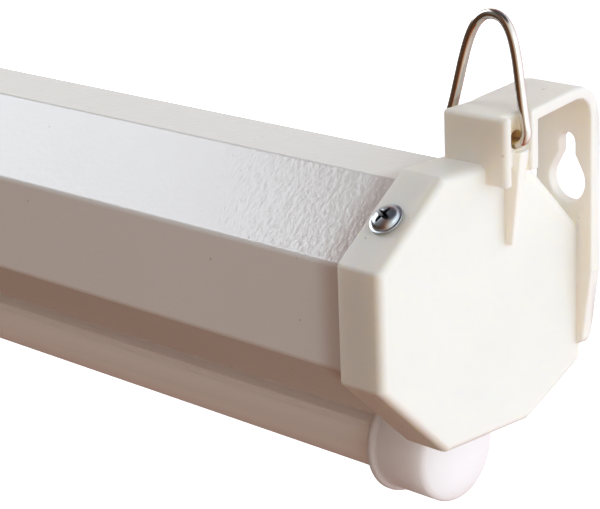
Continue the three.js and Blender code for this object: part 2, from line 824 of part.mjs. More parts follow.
function ratchetHead() {
  const outside = rollerEnd + seatGap;
  const bore = arborRadius + seatGap;
  const floor = outside - pawlPinInHead - seatGap;
  const body = onRollerAxis([
    [-outside + plugReach, plugBore],
    [-outside + plugReach, plugRadius],
    [-outside, plugRadius],
    [-outside, rollerRadius],
    [-headOutside, rollerRadius],
    [-headOutside, bore],
    [-floor + plugFlange, bore],
    [-floor + plugFlange, plugBore],
    [-outside + plugReach, plugBore],
  ]);
  const pinHoles = [0, Math.PI].map((turn) => {
    const [depth, height] = pawlPivot(turn);
    const inner = -headOutside + pawlPinInHead + seatGap;
    return cylinderX(pawlPinRadius + seatGap, -headOutside - cutOverrun, inner, depth, height, smallSides);
  });
  return cut(body, ...pinHoles);
}

// A notch clears the locked pawl and stops its nose: a wall beside the nose, then a floor under the lever
function collarNotch(turn) {
  const pivot = [pawlPivotRadius * Math.cos(pawlPivotAngle), pawlPivotRadius * Math.sin(pawlPivotAngle)];
  const wall = pivot[0] + pawlLength + seatGap;
  const floor = pivot[1] - pawlDrop - notchClearance;
  const outline = [
    [wall, pawlPivotRadius],
    [wall, floor],
    [pivot[0], pivot[1] - pawlBossRadius - notchClearance],
    [pivot[0], pawlPivotRadius],
  ].map(([u, v]) => [
    u * Math.cos(turn) - v * Math.sin(turn) + rollerDepth,
    u * Math.sin(turn) + v * Math.cos(turn) + rollerAxisHeight,
  ]);
  return prismX(outline, -pawlOutside - notchDepth, -headOutside + cutOverrun);
}

function springSpindle() {
  const shoulder = bossFace - seatGap;
  const collarInside = headOutside + seatGap;
  const seatStart = rollerEnd - plugReach;
  const body = onRollerAxis([
    [-shoulder, 0],
    [-shoulder, spindleShoulder],
    [-collarOutside, spindleShoulder],
    [-collarOutside, collarRadius],
    [-collarInside, collarRadius],
    [-collarInside, arborRadius],
    [-seatStart, arborRadius],
    [-seatStart, springSeatRadius],
    [-seatStart + springSeatLength, springSeatRadius],
    [-seatStart + springSeatLength, arborRadius],
    [-seatStart + arborLength, arborRadius],
    [-seatStart + arborLength, 0],
  ]);
  const [wide, thick] = [tongueWidth / 2, tongueThickness / 2];
  const tongue = prismX(
    rectangle([rollerDepth - thick, rollerAxisHeight - wide], [rollerDepth + thick, rollerAxisHeight + wide]),
    -shoulder - tongueReach, -shoulder + joinOverlap);
  return cut(unite(body, tongue), collarNotch(0), collarNotch(Math.PI));
}

class Helix extends THREE.Curve {
  constructor(radius, pitch, turns, start) {
    super();
    Object.assign(this, { radius, pitch, turns, start });
  }

  getPoint(t, target = new THREE.Vector3()) {
    const angle = 2 * Math.PI * this.turns * t;
    return target.set(
      this.start + this.pitch * this.turns * t,
      rollerDepth + this.radius * Math.cos(angle),
      rollerAxisHeight + this.radius * Math.sin(angle),
    );
  }
}

const springStart = -rollerEnd + plugReach + springWire + seatGap;
const springEnd = springStart + springTurns * springPitch;

function springCurve() {
  const flatness = Math.cos(Math.PI / springStepsPerTurn);
  return new Helix((springSeatRadius + seatGap + springWire) / flatness, springPitch, springTurns, springStart);
}

const rollerSpring = () => sweep(springCurve(), springWire, springSides, springTurns * springStepsPerTurn);

// The least gap between turns that lie at least half a turn apart along the wire
function leastGap(curve, radius, steps, apart) {
  const points = curve.getPoints(steps);
  let least = Infinity;
  for (let i = 0; i < points.length; i++) {
    for (let j = i + apart; j < points.length; j++) least = Math.min(least, points[i].distanceTo(points[j]));
  }
  return least - 2 * radius;
}

function springAnchor() {
  const bore = arborRadius + seatGap;
  const face = springEnd + springWire + seatGap;
  return onRollerAxis([
    [face - springSeatLength, bore],
    [face - springSeatLength, springSeatRadius],
    [face, springSeatRadius],
    [face, plugRadius],
    [face + plugReach, plugRadius],
    [face + plugReach, bore],
    [face - springSeatLength, bore],
  ]);
}

// Weight bar

function barOutline(inset) {
  const radius = barRadius - inset;
  const low = arcPoints([0, 0], radius, Math.PI - barRidgeAngle, 2 * Math.PI + barRidgeAngle, roundSides);
  const ridge = [radius * Math.cos(barRidgeAngle), radius * Math.sin(barRidgeAngle)];
  const lip = [barLipHalf, Math.sqrt(barRadius ** 2 - barLipHalf ** 2) - barRidgeStep - inset];
  const step = inset > 0 ? 0 : barRidgeStep;
  return [
    ...low,
    [ridge[0] - step, ridge[1] + step / 2],
    lip,
    [-lip[0], lip[1]],
    [-ridge[0] + step, ridge[1] + step / 2],
  ];
}

const atBar = ([y, z]) => [y + fabricPlane, z + barHeight];

function hemRodHeight() {
  return Math.sqrt(barRadius ** 2 - barLipHalf ** 2) - barRidgeStep - barWall - seatGap - hemRodRadius;
}

function barTube() {
  const outer = barOutline(0).map(atBar);
  const inner = barOutline(barWall).map(atBar);
  const slot = prismX(
    rectangle([-barSlot / 2, barRadius / 2], [barSlot / 2, barRadius + cutOverrun]).map(atBar),
    -barTubeEnd - cutOverrun, barTubeEnd + cutOverrun);
  const holes = [-handleScrewSpread, handleScrewSpread].map((x) => {
    const outward = handleScrewNormal();
    const radius = handleScrew.shank + seatGap;
    const base = barPoint(barRadius / 2, outward).setX(x);
    return turned([[0, 0], [0, radius], [barRadius, radius], [barRadius, 0]], outward, base, smallSides);
  });
  return cut(prismX(outer, -barTubeEnd, barTubeEnd, [inner]), slot, ...holes);
}

function hemRod() {
  const end = fabricWidth / 2 - hemRodShort;
  return cylinderX(hemRodRadius, -end, end, fabricPlane, barHeight + hemRodHeight(), smallSides);
}

function barPlug() {
  const tip = halfSpan - barPlugFromEndFace;
  const flangeOut = tip - barPlugBody;
  const flangeIn = flangeOut - barPlugFlange;
  const spigotEnd = flangeIn - barSpigotLength;
  const edge = arcPoints([0, 0], barPlugEdge, 0, Math.PI / 2, edgeSteps)
    .map(([u, v]) => [tip - barPlugEdge + v, barPlugRadius - barPlugEdge + u]);
  return turned([
    [spigotEnd, 0],
    [spigotEnd, barSpigotRadius - barSpigotChamfer],
    [spigotEnd + barSpigotChamfer, barSpigotRadius],
    [flangeIn, barSpigotRadius],
    [flangeIn, barFlangeRadius],
    [flangeOut, barFlangeRadius],
    [flangeOut, barPlugRadius],
    ...edge,
    [tip, 0],
  ], axisX, new THREE.Vector3(0, fabricPlane, barHeight));
}

// Pull handle

function handleScrewNormal() {
  return new THREE.Vector3(0, Math.cos(handleScrewAngle), Math.sin(handleScrewAngle));
}

function barPoint(radius, outward) {
  return new THREE.Vector3(0, fabricPlane, barHeight).addScaledVector(outward, radius);
}

function pullHandle() {
  const inner = barRadius + seatGap;
  const outer = inner + saddleWall;
  const [from, to] = [-Math.PI / 2 - saddleSpan, -Math.PI / 2 + saddleSpan];
  const saddle = prismX([
    ...arcPoints([0, 0], outer, from, to, roundSides / 2),
    ...arcPoints([0, 0], inner, to, from, roundSides / 2),
  ].map(atBar), -saddleLength / 2, saddleLength / 2);
  const top = barHeight - inner - saddleWall / 2;
  const foot = barHeight - outer - gripDrop;
  const half = gripWidth / 2;
  const [near, far] = [fabricPlane - gripDepth / 2, fabricPlane + gripDepth / 2];
  const loop = roundOutline(
    [[-saddleLength / 2, top], [-half, foot], [half, foot], [saddleLength / 2, top]], gripCorner / 2, edgeSteps);
  const opening = roundOutline([
    [-saddleLength / 2 + gripThickness, top - gripThickness / 2],
    [-half + gripThickness, foot + gripThickness],
    [half - gripThickness, foot + gripThickness],
    [saddleLength / 2 - gripThickness, top - gripThickness / 2],
  ], gripCorner / 3, edgeSteps);
  const grip = cut(prismY(loop, near, far), prismY(opening, near - cutOverrun, far + cutOverrun));
  const barRoom = cylinderX(
    inner, -saddleLength, saddleLength, fabricPlane, barHeight, roundSides);
  const screwHoles = [-handleScrewSpread, handleScrewSpread].map((x) => {
    const outward = handleScrewNormal();
    const radius = handleScrew.shank + seatGap;
    const base = barPoint(barRadius / 2, outward).setX(x);
    return turned([[0, 0], [0, radius], [barRadius, radius], [barRadius, 0]], outward, base, smallSides);
  });
  return cut(unite(saddle, cut(grip, barRoom)), ...screwHoles);
}

function handleScrewAt(x) {
  const outward = handleScrewNormal();
  const base = barPoint(barRadius + seatGap + saddleWall + seatGap, outward).setX(x);
  return panScrew(handleScrew, base, outward, handleRecessTurn);
}

// Assembly: every piece is placed in the casing's section, which hangs in front of and below the origin

const section = new THREE.Group();
section.position.set(0, -wallToMiddle, -seatToMiddle);

function atEnd(side, name, body, finish) {
  const mesh = piece(name, body, finish, side < 0);
  mesh.position.x = side * halfSpan;
  return mesh;
}

section.add(piece('casing', casing(), finishes.steel));
section.add(atEnd(1, 'end_cap_right', endCap(idleBore()), finishes.cap));
section.add(atEnd(-1, 'end_cap_left', endCap(tongueBore()), finishes.cap));
for (const [side, end] of [[1, 'right'], [-1, 'left']]) {
  section.add(atEnd(side, `cap_screw_${end}_front`, capScrewAt(screwFacets.front), finishes.zinc));
  section.add(atEnd(side, `cap_screw_${end}_rear`, capScrewAt(screwFacets.rear), finishes.zinc));
  section.add(atEnd(side, `hanger_ring_${end}`, hangerRing(), finishes.wire));
  section.add(piece(`bar_plug_${end}`, barPlug(), finishes.plug, side < 0));
}

section.add(piece('roller_tube', rollerTube(), finishes.roller));
section.add(piece('fabric_roll', fabricRoll(), finishes.fabric));
section.add(piece('fabric_drop', fabricDrop(), finishes.fabric));
section.add(piece('idle_plug', idlePlug(), finishes.nylon));
section.add(piece('idle_pin', idlePin(), finishes.zinc));
section.add(piece('idle_bush', idleBush(), finishes.nylon));
section.add(piece('ratchet_head', ratchetHead(), finishes.zinc));
section.add(piece('spring_spindle', springSpindle(), finishes.zinc));
section.add(piece('roller_spring', rollerSpring(), finishes.spring));
section.add(piece('spring_anchor', springAnchor(), finishes.nylon));
for (const [turn, name] of [[0, 'upper'], [Math.PI, 'lower']]) {
  section.add(piece(`pawl_${name}`, pawl(turn), finishes.zinc));
  section.add(piece(`pawl_pin_${name}`, pawlPin(turn), finishes.zinc));
}

section.add(piece('bar_tube', barTube(), finishes.bar));
section.add(piece('hem_rod', hemRod(), finishes.zinc));
section.add(piece('pull_handle', pullHandle(), finishes.handle));
section.add(piece('handle_screw_right', handleScrewAt(handleScrewSpread), finishes.zinc));
section.add(piece('handle_screw_left', handleScrewAt(-handleScrewSpread), finishes.zinc));

const springSteps = springTurns * springStepsPerTurn;
const springGap = leastGap(springCurve(), springWire, springSteps, springStepsPerTurn / 2);
console.log(`roller_spring: least gap between turns ${springGap.toFixed(2)} mm`);

const screen = new THREE.Group();
screen.add(section);

export default screen;
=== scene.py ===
"""Looks of the pull down projector screen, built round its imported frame.

Metres in the part's own frame: +X to the audience's right, +Y to the wall, +Z up, with the origin on the wall.
"""

import math

import bmesh
import bpy
from mathutils import Matrix, Vector
from mathutils.geometry import interpolate_bezier


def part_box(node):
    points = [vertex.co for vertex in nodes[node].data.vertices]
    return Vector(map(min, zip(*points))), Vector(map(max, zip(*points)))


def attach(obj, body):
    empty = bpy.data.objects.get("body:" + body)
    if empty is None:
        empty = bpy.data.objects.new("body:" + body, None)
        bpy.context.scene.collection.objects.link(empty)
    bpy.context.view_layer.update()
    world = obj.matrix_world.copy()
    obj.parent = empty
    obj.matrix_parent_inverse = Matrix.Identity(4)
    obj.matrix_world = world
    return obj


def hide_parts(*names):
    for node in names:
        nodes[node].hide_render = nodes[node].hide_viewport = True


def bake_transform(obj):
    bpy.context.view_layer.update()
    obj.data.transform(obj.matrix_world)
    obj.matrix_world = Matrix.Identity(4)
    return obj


MM = 0.001

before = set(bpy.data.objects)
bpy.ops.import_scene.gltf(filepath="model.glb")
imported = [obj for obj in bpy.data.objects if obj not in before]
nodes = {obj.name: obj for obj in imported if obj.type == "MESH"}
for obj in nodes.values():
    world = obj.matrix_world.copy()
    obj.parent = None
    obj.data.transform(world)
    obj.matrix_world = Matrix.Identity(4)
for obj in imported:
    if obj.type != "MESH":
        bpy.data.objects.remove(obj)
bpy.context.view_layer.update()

# The middle of the casing's section, and the end caps' end faces
SECTION_Y = -37 * MM
SECTION_Z = -33 * MM
HALF_SPAN = 683.3 * MM
ENDS = (("right", 1), ("left", -1))

# Node trees


def feed(tree, socket, value):
    """Gives a socket a plain value, or links it to another socket."""
    if isinstance(value, bpy.types.NodeSocket):
        tree.links.new(value, socket)
    else:
        socket.default_value = value


def add_node(tree, kind, inputs=(), **settings):
    node = tree.nodes.new(kind)
    for setting, value in settings.items():
        setattr(node, setting, value)
    for socket, value in dict(inputs).items():
        feed(tree, node.inputs[socket], value)
    return node


def math_node(tree, operation, *values):
    return add_node(tree, "ShaderNodeMath", enumerate(values), operation=operation).outputs[0]


def vector_math(tree, operation, first, second):
    return add_node(tree, "ShaderNodeVectorMath", {0: first, 1: second}, operation=operation).outputs


def times(tree, first, second):
    return math_node(tree, "MULTIPLY", first, second)


def plus(tree, first, second):
    return math_node(tree, "ADD", first, second)


def noise(tree, vector, scale, detail=3.0, roughness=0.5):
    inputs = {"Vector": vector, "Scale": scale, "Detail": detail, "Roughness": roughness}
    return add_node(tree, "ShaderNodeTexNoise", inputs).outputs["Fac"]


def map_range(tree, value, low, high, to_low=0.0, to_high=1.0, kind="LINEAR"):
    inputs = {"Value": value, "From Min": low, "From Max": high, "To Min": to_low, "To Max": to_high}
    return add_node(tree, "ShaderNodeMapRange", inputs, interpolation_type=kind).outputs["Result"]


def smooth_range(tree, value, low, high):
    """0 to 1 while value goes from low to high, eased at both ends."""
    return map_range(tree, value, low, high, kind="SMOOTHSTEP")


def even_out(tree, value):
    """Spreads a noise's usual values over 0 to 1."""
    return map_range(tree, value, 0.3, 0.7)


def axes_of(tree, vector):
    return add_node(tree, "ShaderNodeSeparateXYZ", {0: vector}).outputs


def mix_colour(tree, mask, first, second):
    """The first colour where mask is 0, the second where it is 1; either may be a socket."""
    colours = [(*value, 1) if isinstance(value, tuple) else value for value in (first, second)]
    inputs = {"Factor": mask, 6: colours[0], 7: colours[1]}
    return add_node(tree, "ShaderNodeMix", inputs, data_type="RGBA").outputs[2]


# Camera and light: the photograph's view, and a studio with a bright end and top


def add_object(name, data):
    made = bpy.data.objects.new(name, data)
    bpy.context.scene.collection.objects.link(made)
    return made


def add_camera():
    data = bpy.data.cameras.new("photo_camera")
    data.sensor_width = 36
    data.lens = 133.79
    data.shift_x = 0.0054
    data.clip_start = 0.01
    data.clip_end = 200
    right = Vector((0.69663, 0.71650, -0.03649)).normalized()
    ahead = Vector((-0.69386, 0.65994, -0.28816)).normalized()
    up = right.cross(ahead).normalized()
    camera = add_object("photo_camera", data)
    camera.matrix_world = Matrix((right, up, -ahead)).transposed().to_4x4()
    camera.matrix_world.translation = Vector((1.0177157, -0.4165729, 0.1327947))
    bpy.context.scene.camera = camera


def add_end_softbox():
    """A small lamp off the bright end, for the highlights on the cap and the screw."""
    data = bpy.data.lights.new("end_softbox", "AREA")
    data.size = 0.7
    data.energy = 2.4
    data.color = (0.98, 1.0, 1.03)
    place, target = Vector((2.4, -0.5, 0.8)), Vector((0.66, 0, 0))
    turn = (target - place).to_track_quat("-Z", "Y").to_matrix().to_4x4()
    add_object("end_softbox", data).matrix_world = Matrix.Translation(place) @ turn


# How the light of each channel grows along X, Y and Z from its mean, and the least it falls to
SURROUND_GROWTH = (
    ("Red", 0.546, (0.999, 0.434, 0.172), 0.10),
    ("Green", 0.300, (1.343, 0.510, 0.345), 0.055),
    ("Blue", 0.250, (1.452, 0.660, 0.410), 0.031))

# Light and dark parts of the surround: their colour, and where each begins and is full along the axes
FAR_WINDOW = (4.0, 4.25, 4.58), (
    ("X", -0.45, -0.62), ("Y", -0.4, -0.3), ("Y", 0.2, 0.1), ("Z", 0.12, 0.2), ("Z", 0.725, 0.70))
PALE_WALL = (0.95, 0.91, 0.83), (("X", -0.2, -0.45), ("Y", 0.3, 0.5), ("Z", 0.02, 0.1), ("Z", 0.75, 0.5))
DARK_CEILING = (0.07, 0.08, 0.10), (("X", 0.6, 0.42), ("Z", 0.78, 0.88))
GREY_WALL = (0.20, 0.20, 0.20), (("X", -0.3, -0.5), ("Y", -0.3, -0.45), ("Z", 0.05, 0.2), ("Z", 0.8, 0.6))
CAMERA_WHITE = (1.0, 1.0, 1.0)


def light_studio():
    """Light that grows steadily towards the bright end, with dark brown in front and on the far side.

    A window on the far side shows in the glossy slant of the casing, a pale wall in its top, a dark ceiling in the
    screws. The camera itself sees plain white.
    """
    world = bpy.data.worlds.new("studio_surround")
    bpy.context.scene.world = world
    world.use_nodes = True
    tree = world.node_tree
    tree.nodes.clear()
    direction = add_node(tree, "ShaderNodeTexCoord").outputs["Generated"]
    levels = {}
    for channel, mean, growth, least in SURROUND_GROWTH:
        grown = vector_math(tree, "DOT_PRODUCT", direction, growth)["Value"]
        levels[channel] = math_node(tree, "MAXIMUM", plus(tree, grown, mean), least)
    surround = add_node(tree, "ShaderNodeCombineColor", levels).outputs["Color"]
    axes = axes_of(tree, direction)
    for colour, reaches in (FAR_WINDOW, PALE_WALL, DARK_CEILING, GREY_WALL):
        mask = 1.0
        for axis, begins, full in reaches:
            mask = times(tree, mask, smooth_range(tree, axes[axis], begins, full))
        surround = mix_colour(tree, mask, surround, colour)
    seen = add_node(tree, "ShaderNodeLightPath").outputs["Is Camera Ray"]
    shown = mix_colour(tree, seen, surround, CAMERA_WHITE)
    background = add_node(tree, "ShaderNodeBackground", {"Color": shown})
    add_node(tree, "ShaderNodeOutputWorld", {"Surface": background.outputs["Background"]})
    add_end_softbox()


def add_floor():
    reach, level = 40, -1.46
    mesh = bpy.data.meshes.new("studio_floor")
    corners = [(-reach, -reach, level), (reach, -reach, level), (reach, reach, level), (-reach, reach, level)]
    mesh.from_pydata(corners, [], [(0, 1, 2, 3)])
    pale = Finish(
        "pale_floor", 0.9, Base_Color=(0.9, 0.9, 0.9, 1), Emission_Color=(1, 1, 1, 1), Emission_Strength=0.75)
    mesh.materials.append(pale.material)
    floor = add_object("studio_floor", mesh)
    floor.visible_diffuse = False
    floor.visible_glossy = False


# Shared shader effects

SOCKET_KINDS = {float: "NodeSocketFloat", int: "NodeSocketInt", tuple: "NodeSocketVector"}


def new_group(kind, name, inputs, outputs):
    """A node group; an input is given by its default value, or by its kind of socket where it has none."""
    tree = bpy.data.node_groups.new(name, kind)
    for socket, value in inputs.items():
        if isinstance(value, str):
            tree.interface.new_socket(socket, in_out="INPUT", socket_type=value)
        else:
            item = tree.interface.new_socket(socket, in_out="INPUT", socket_type=SOCKET_KINDS[type(value)])
            item.default_value = value
    for socket, socket_kind in outputs.items():
        tree.interface.new_socket(socket, in_out="OUTPUT", socket_type=socket_kind)
    return tree, tree.nodes.new("NodeGroupInput").outputs, tree.nodes.new("NodeGroupOutput").inputs


def new_effect(name, inputs, outputs):
    inputs = {"Vector": "NodeSocketVector", **inputs}
    return new_group("ShaderNodeTree", name, inputs, dict.fromkeys(outputs, "NodeSocketFloat"))


def layered(tree, coarse, fine):
    """A height that is mostly coarse, with some of the fine on it."""
    return plus(tree, times(tree, coarse, 0.7), times(tree, fine, 0.3))


def build_moulded_grain():
    """Spark-eroded skin of a moulding: fine pits, and slow drifts of tone over the surface."""
    tree, inside, out = new_effect("moulded_grain", {"Pit Scale": 1500.0, "Drift Scale": 28.0}, ("Height", "Drift"))
    vector, pit_scale = inside["Vector"], inside["Pit Scale"]
    pits = noise(tree, vector, pit_scale, 2.0, 0.6)
    swells = noise(tree, vector, times(tree, pit_scale, 0.23), 2.0)
    feed(tree, out["Height"], layered(tree, pits, swells))
    feed(tree, out["Drift"], even_out(tree, noise(tree, vector, inside["Drift Scale"])))
    return tree


def build_orange_peel():
    """Sprayed enamel: soft dimples a few millimetres apart, with finer ones between, and a few grit nibs."""
    tree, inside, out = new_effect("orange_peel", {"Dimple Scale": 420.0, "Nib Share": 0.5}, ("Height", "Patch"))
    vector, dimple_scale = inside["Vector"], inside["Dimple Scale"]
    dimples = noise(tree, vector, dimple_scale, 2.0, 0.45)
    finer = noise(tree, vector, times(tree, dimple_scale, 2.7), 2.0)
    nib = add_node(tree, "ShaderNodeTexVoronoi", {"Vector": vector, "Scale": times(tree, dimple_scale, 0.55)})
    peak = map_range(tree, nib.outputs["Distance"], 0.16, 0.0)
    patch = smooth_range(tree, noise(tree, vector, 14.0, 2.0), 0.3, 0.7)
    nibs = times(tree, times(tree, peak, patch), inside["Nib Share"])
    feed(tree, out["Height"], plus(tree, layered(tree, dimples, finer), nibs))
    feed(tree, out["Patch"], patch)
    return tree


def build_drawn_lines():
    """Faint lines left along a piece by rolling or drawing: the noise is stretched by Stretch."""
    tree, inside, out = new_effect(
        "drawn_lines", {"Stretch": (0.02, 1.0, 1.0), "Line Scale": 900.0}, ("Height", "Streak"))
    stretched = vector_math(tree, "MULTIPLY", inside["Vector"], inside["Stretch"])[0]
    lines = noise(tree, stretched, inside["Line Scale"], 3.0, 0.6)
    streaks = noise(tree, stretched, times(tree, inside["Line Scale"], 0.3), 2.0)
    feed(tree, out["Height"], lines)
    feed(tree, out["Streak"], even_out(tree, streaks))
    return tree


def build_settled_dust():
    """Thin dust on faces that look up, broken by a slow noise."""
    tree, inside, out = new_effect("settled_dust", {"Amount": 0.3}, ("Mask",))
    normal = add_node(tree, "ShaderNodeNewGeometry").outputs["Normal"]
    upward = map_range(tree, axes_of(tree, normal)["Z"], 0.4, 1.0)
    speckle = map_range(tree, noise(tree, inside["Vector"], 90.0, 5.0, 0.7), 0.4, 0.75)
    feed(tree, out["Mask"], times(tree, times(tree, upward, speckle), inside["Amount"]))
    return tree


def build_handling_specks():
    """Small dark specks and nicks from handling, a few to each square centimetre where Share is 1."""
    tree, inside, out = new_effect("handling_specks", {"Cells Per Metre": 260.0, "Share": 0.3}, ("Mask",))
    vector = inside["Vector"]
    ragged = add_node(tree, "ShaderNodeTexNoise", {"Vector": vector, "Scale": 900.0}).outputs["Color"]
    offset = add_node(tree, "ShaderNodeVectorMath", {0: ragged, "Scale": 1.2 * MM}, operation="SCALE").outputs[0]
    shifted = vector_math(tree, "ADD", vector, offset)[0]
    cells = add_node(tree, "ShaderNodeTexVoronoi", {"Vector": shifted, "Scale": inside["Cells Per Metre"]}).outputs
    chosen = add_node(tree, "ShaderNodeSeparateColor", {0: cells["Color"]}).outputs
    spot = smooth_range(tree, cells["Distance"], 0.11, 0.05)
    kept = math_node(tree, "LESS_THAN", chosen["Red"], inside["Share"])
    feed(tree, out["Mask"], times(tree, spot, times(tree, chosen["Green"], kept)))
    return tree


def build_cloth_weave():
    """Plain weave seen through a matt coating: two crossed rows of rounded yarns."""
    tree, inside, out = new_effect("cloth_weave", {"Yarns Per Metre": 1600.0}, ("Height", "Slub"))
    axes = axes_of(tree, inside["Vector"])
    turns = times(tree, inside["Yarns Per Metre"], math.pi)
    warp, weft = (
        math_node(tree, "ABSOLUTE", math_node(tree, "SINE", times(tree, axes[axis], turns))) for axis in "XZ")
    feed(tree, out["Height"], math_node(tree, "MAXIMUM", warp, weft))
    feed(tree, out["Slub"], even_out(tree, noise(tree, inside["Vector"], 160.0, 4.0)))
    return tree


GRAIN = build_moulded_grain()
PEEL = build_orange_peel()
LINES = build_drawn_lines()
DUST = build_settled_dust()
SPECKS = build_handling_specks()
WEAVE = build_cloth_weave()

# Finishes


class Finish:
    """A material with a Principled shader, whose textures read Object coordinates."""

    def __init__(self, name, roughness=0.5, metallic=0.0, **sockets):
        self.material = bpy.data.materials.new(name)
        self.material.use_nodes = True
        self.tree = self.material.node_tree
        self.shader = self.tree.nodes["Principled BSDF"]
        for socket, value in {"Roughness": roughness, "Metallic": metallic, **sockets}.items():
            self.feed(socket.replace("_", " "), value)
        self.coords = add_node(self.tree, "ShaderNodeTexCoord").outputs["Object"]

    def feed(self, socket, value):
        feed(self.tree, self.shader.inputs[socket], value)

    def effect(self, group, **values):
        inputs = {"Vector": self.coords}
        inputs.update((socket.replace("_", " "), value) for socket, value in values.items())
        return add_node(self.tree, "ShaderNodeGroup", inputs, node_tree=group).outputs

    def attribute(self, name):
        return add_node(self.tree, "ShaderNodeAttribute", attribute_name=name).outputs["Fac"]

    def mix(self, mask, first, second):
        return mix_colour(self.tree, mask, first, second)

    def paint(self, mask, first, second):
        self.feed("Base Color", self.mix(mask, first, second))

    def vary_roughness(self, mask, low, high):
        self.feed("Roughness", map_range(self.tree, mask, 0.0, 1.0, low, high))

    def bump(self, height, distance, strength):
        inputs = {"Strength": strength, "Distance": distance, "Height": height}
        self.feed("Normal", add_node(self.tree, "ShaderNodeBump", inputs).outputs["Normal"])


def ivory_moulding():
    deep, pale = (0.872, 0.842, 0.772), (0.902, 0.872, 0.802)
    dusty, speck, hole_painted_shade = (0.74, 0.71, 0.64), (0.50, 0.46, 0.40), (0.78, 0.60, 0.33)
    finish = Finish(
        "ivory_moulding", 0.42, IOR=1.5, Subsurface_Weight=0.5, Subsurface_Radius=(1.0, 0.8, 0.5),
        Subsurface_Scale=6 * MM)
    height, drift = finish.effect(GRAIN, Pit_Scale=1700.0, Drift_Scale=30.0)
    tone = finish.mix(drift, deep, pale)
    tone = finish.mix(finish.effect(DUST, Amount=0.25)["Mask"], tone, dusty)
    # Painted shade: the inside of the ring's hole, marked by ring_hole_shade, is tinted a darker golden brown
    tone = finish.mix(finish.attribute("ring_hole_shade"), tone, hole_painted_shade)
    finish.paint(finish.effect(SPECKS, Share=0.3)["Mask"], tone, speck)
    finish.vary_roughness(drift, 0.36, 0.46)
    finish.bump(height, 0.03 * MM, 0.5)
    return finish.material


def plain_finish(name, effect, values, tones, roughness, depth, **sockets):
    """Two tones, the roughness of each, and how deep the relief of the effect is."""
    finish = Finish(name, roughness[0], **sockets)
    height, tone = finish.effect(effect, **values)
    finish.paint(tone, *tones)
    finish.vary_roughness(tone, *roughness)
    finish.bump(height, depth, 0.4)
    return finish.material


def white_enamel():
    """The casing's paint, a little darker where the caps' lips keep the light off it."""
    deep, pale = (0.815, 0.812, 0.795), (0.83, 0.828, 0.815)
    dusty, speck, shaded = (0.72, 0.71, 0.68), (0.56, 0.53, 0.50), (0.66, 0.60, 0.565)
    shade_begins, shade_full = 658 * MM, 665 * MM
    finish = Finish("white_enamel", 0.1, IOR=1.5, Specular_IOR_Level=0.62)
    height, patch = finish.effect(PEEL, Dimple_Scale=660.0, Nib_Share=0.5)
    tone = finish.mix(patch, deep, pale)
    tone = finish.mix(finish.effect(DUST, Amount=0.25)["Mask"], tone, dusty)
    from_middle = math_node(finish.tree, "ABSOLUTE", axes_of(finish.tree, finish.coords)["X"])
    tone = finish.mix(smooth_range(finish.tree, from_middle, shade_begins, shade_full), tone, shaded)
    finish.paint(finish.effect(SPECKS, Share=0.08)["Mask"], tone, speck)
    finish.vary_roughness(patch, 0.07, 0.12)
    finish.bump(height, 0.125 * MM, 0.6)
    return finish.material


def plated_metal(name, tones, roughness, stretch, depth):
    """Drawn or rolled metal: two tones, the roughness of each, and how its lines are stretched and how deep."""
    # Painted shade: deep in a screw's cross recess, marked by recess_shade, the metal is painted near black
    recess_painted_shade = (0.006, 0.007, 0.008)
    finish = Finish(name, roughness[0], 1.0)
    height, streak = finish.effect(LINES, Stretch=stretch, Line_Scale=1300.0)
    finish.paint(finish.attribute("recess_shade"), finish.mix(streak, *tones), recess_painted_shade)
    finish.vary_roughness(streak, *roughness)
    finish.bump(height, depth, 0.35)
    return finish.material


# The hanging cloth stretches between these depths below the roll; its black mask ends just past them
CLOTH_TOP_MASK = 5.4 * MM
CLOTH_FOOT_MASK = 26.5 * MM
CLOTH_SIDE_MASK = 610 * MM


def screen_cloth():
    """Matt white cloth with a black mask along its edges, placed by the cloth's own UV map in metres."""
    white = (0.84, 0.84, 0.83), (0.88, 0.88, 0.875)
    black = (0.012, 0.012, 0.013), (0.02, 0.02, 0.021)
    finish = Finish("screen_cloth", 0.85, Specular_IOR_Level=0.3, Sheen_Weight=0.15, Sheen_Roughness=0.5)
    tree = finish.tree
    height, slub = finish.effect(WEAVE, Yarns_Per_Metre=1600.0)
    place = axes_of(tree, add_node(tree, "ShaderNodeUVMap", uv_map="cloth_metres").outputs["UV"])
    side = math_node(tree, "GREATER_THAN", math_node(tree, "ABSOLUTE", place["X"]), CLOTH_SIDE_MASK)
    top = math_node(tree, "LESS_THAN", place["Y"], CLOTH_TOP_MASK)
    foot = math_node(tree, "GREATER_THAN", place["Y"], CLOTH_FOOT_MASK)
    mask = math_node(tree, "MAXIMUM", side, math_node(tree, "MAXIMUM", top, foot))
    finish.paint(mask, finish.mix(slub, *white), finish.mix(slub, *black))
    finish.bump(height, 0.05 * MM, 0.4)
    return finish.material


# Shapes

# Edges sharper than this stay hard, in degrees
HARD_ANGLE = 35


def inset_outline(points, distance):
    """Moves every side of a closed outline to its left, which is inwards when it runs anticlockwise."""
    moved = []
    for i, point in enumerate(points):
        before, after = Vector(points[i - 1]), Vector(points[(i + 1) % len(points)])
        into = (Vector(point) - before).normalized()
        out = (after - Vector(point)).normalized()
        scale = distance / (1 + into.dot(out))
        moved.append((point[0] - (into.y + out.y) * scale, point[1] + (into.x + out.x) * scale))
    return moved


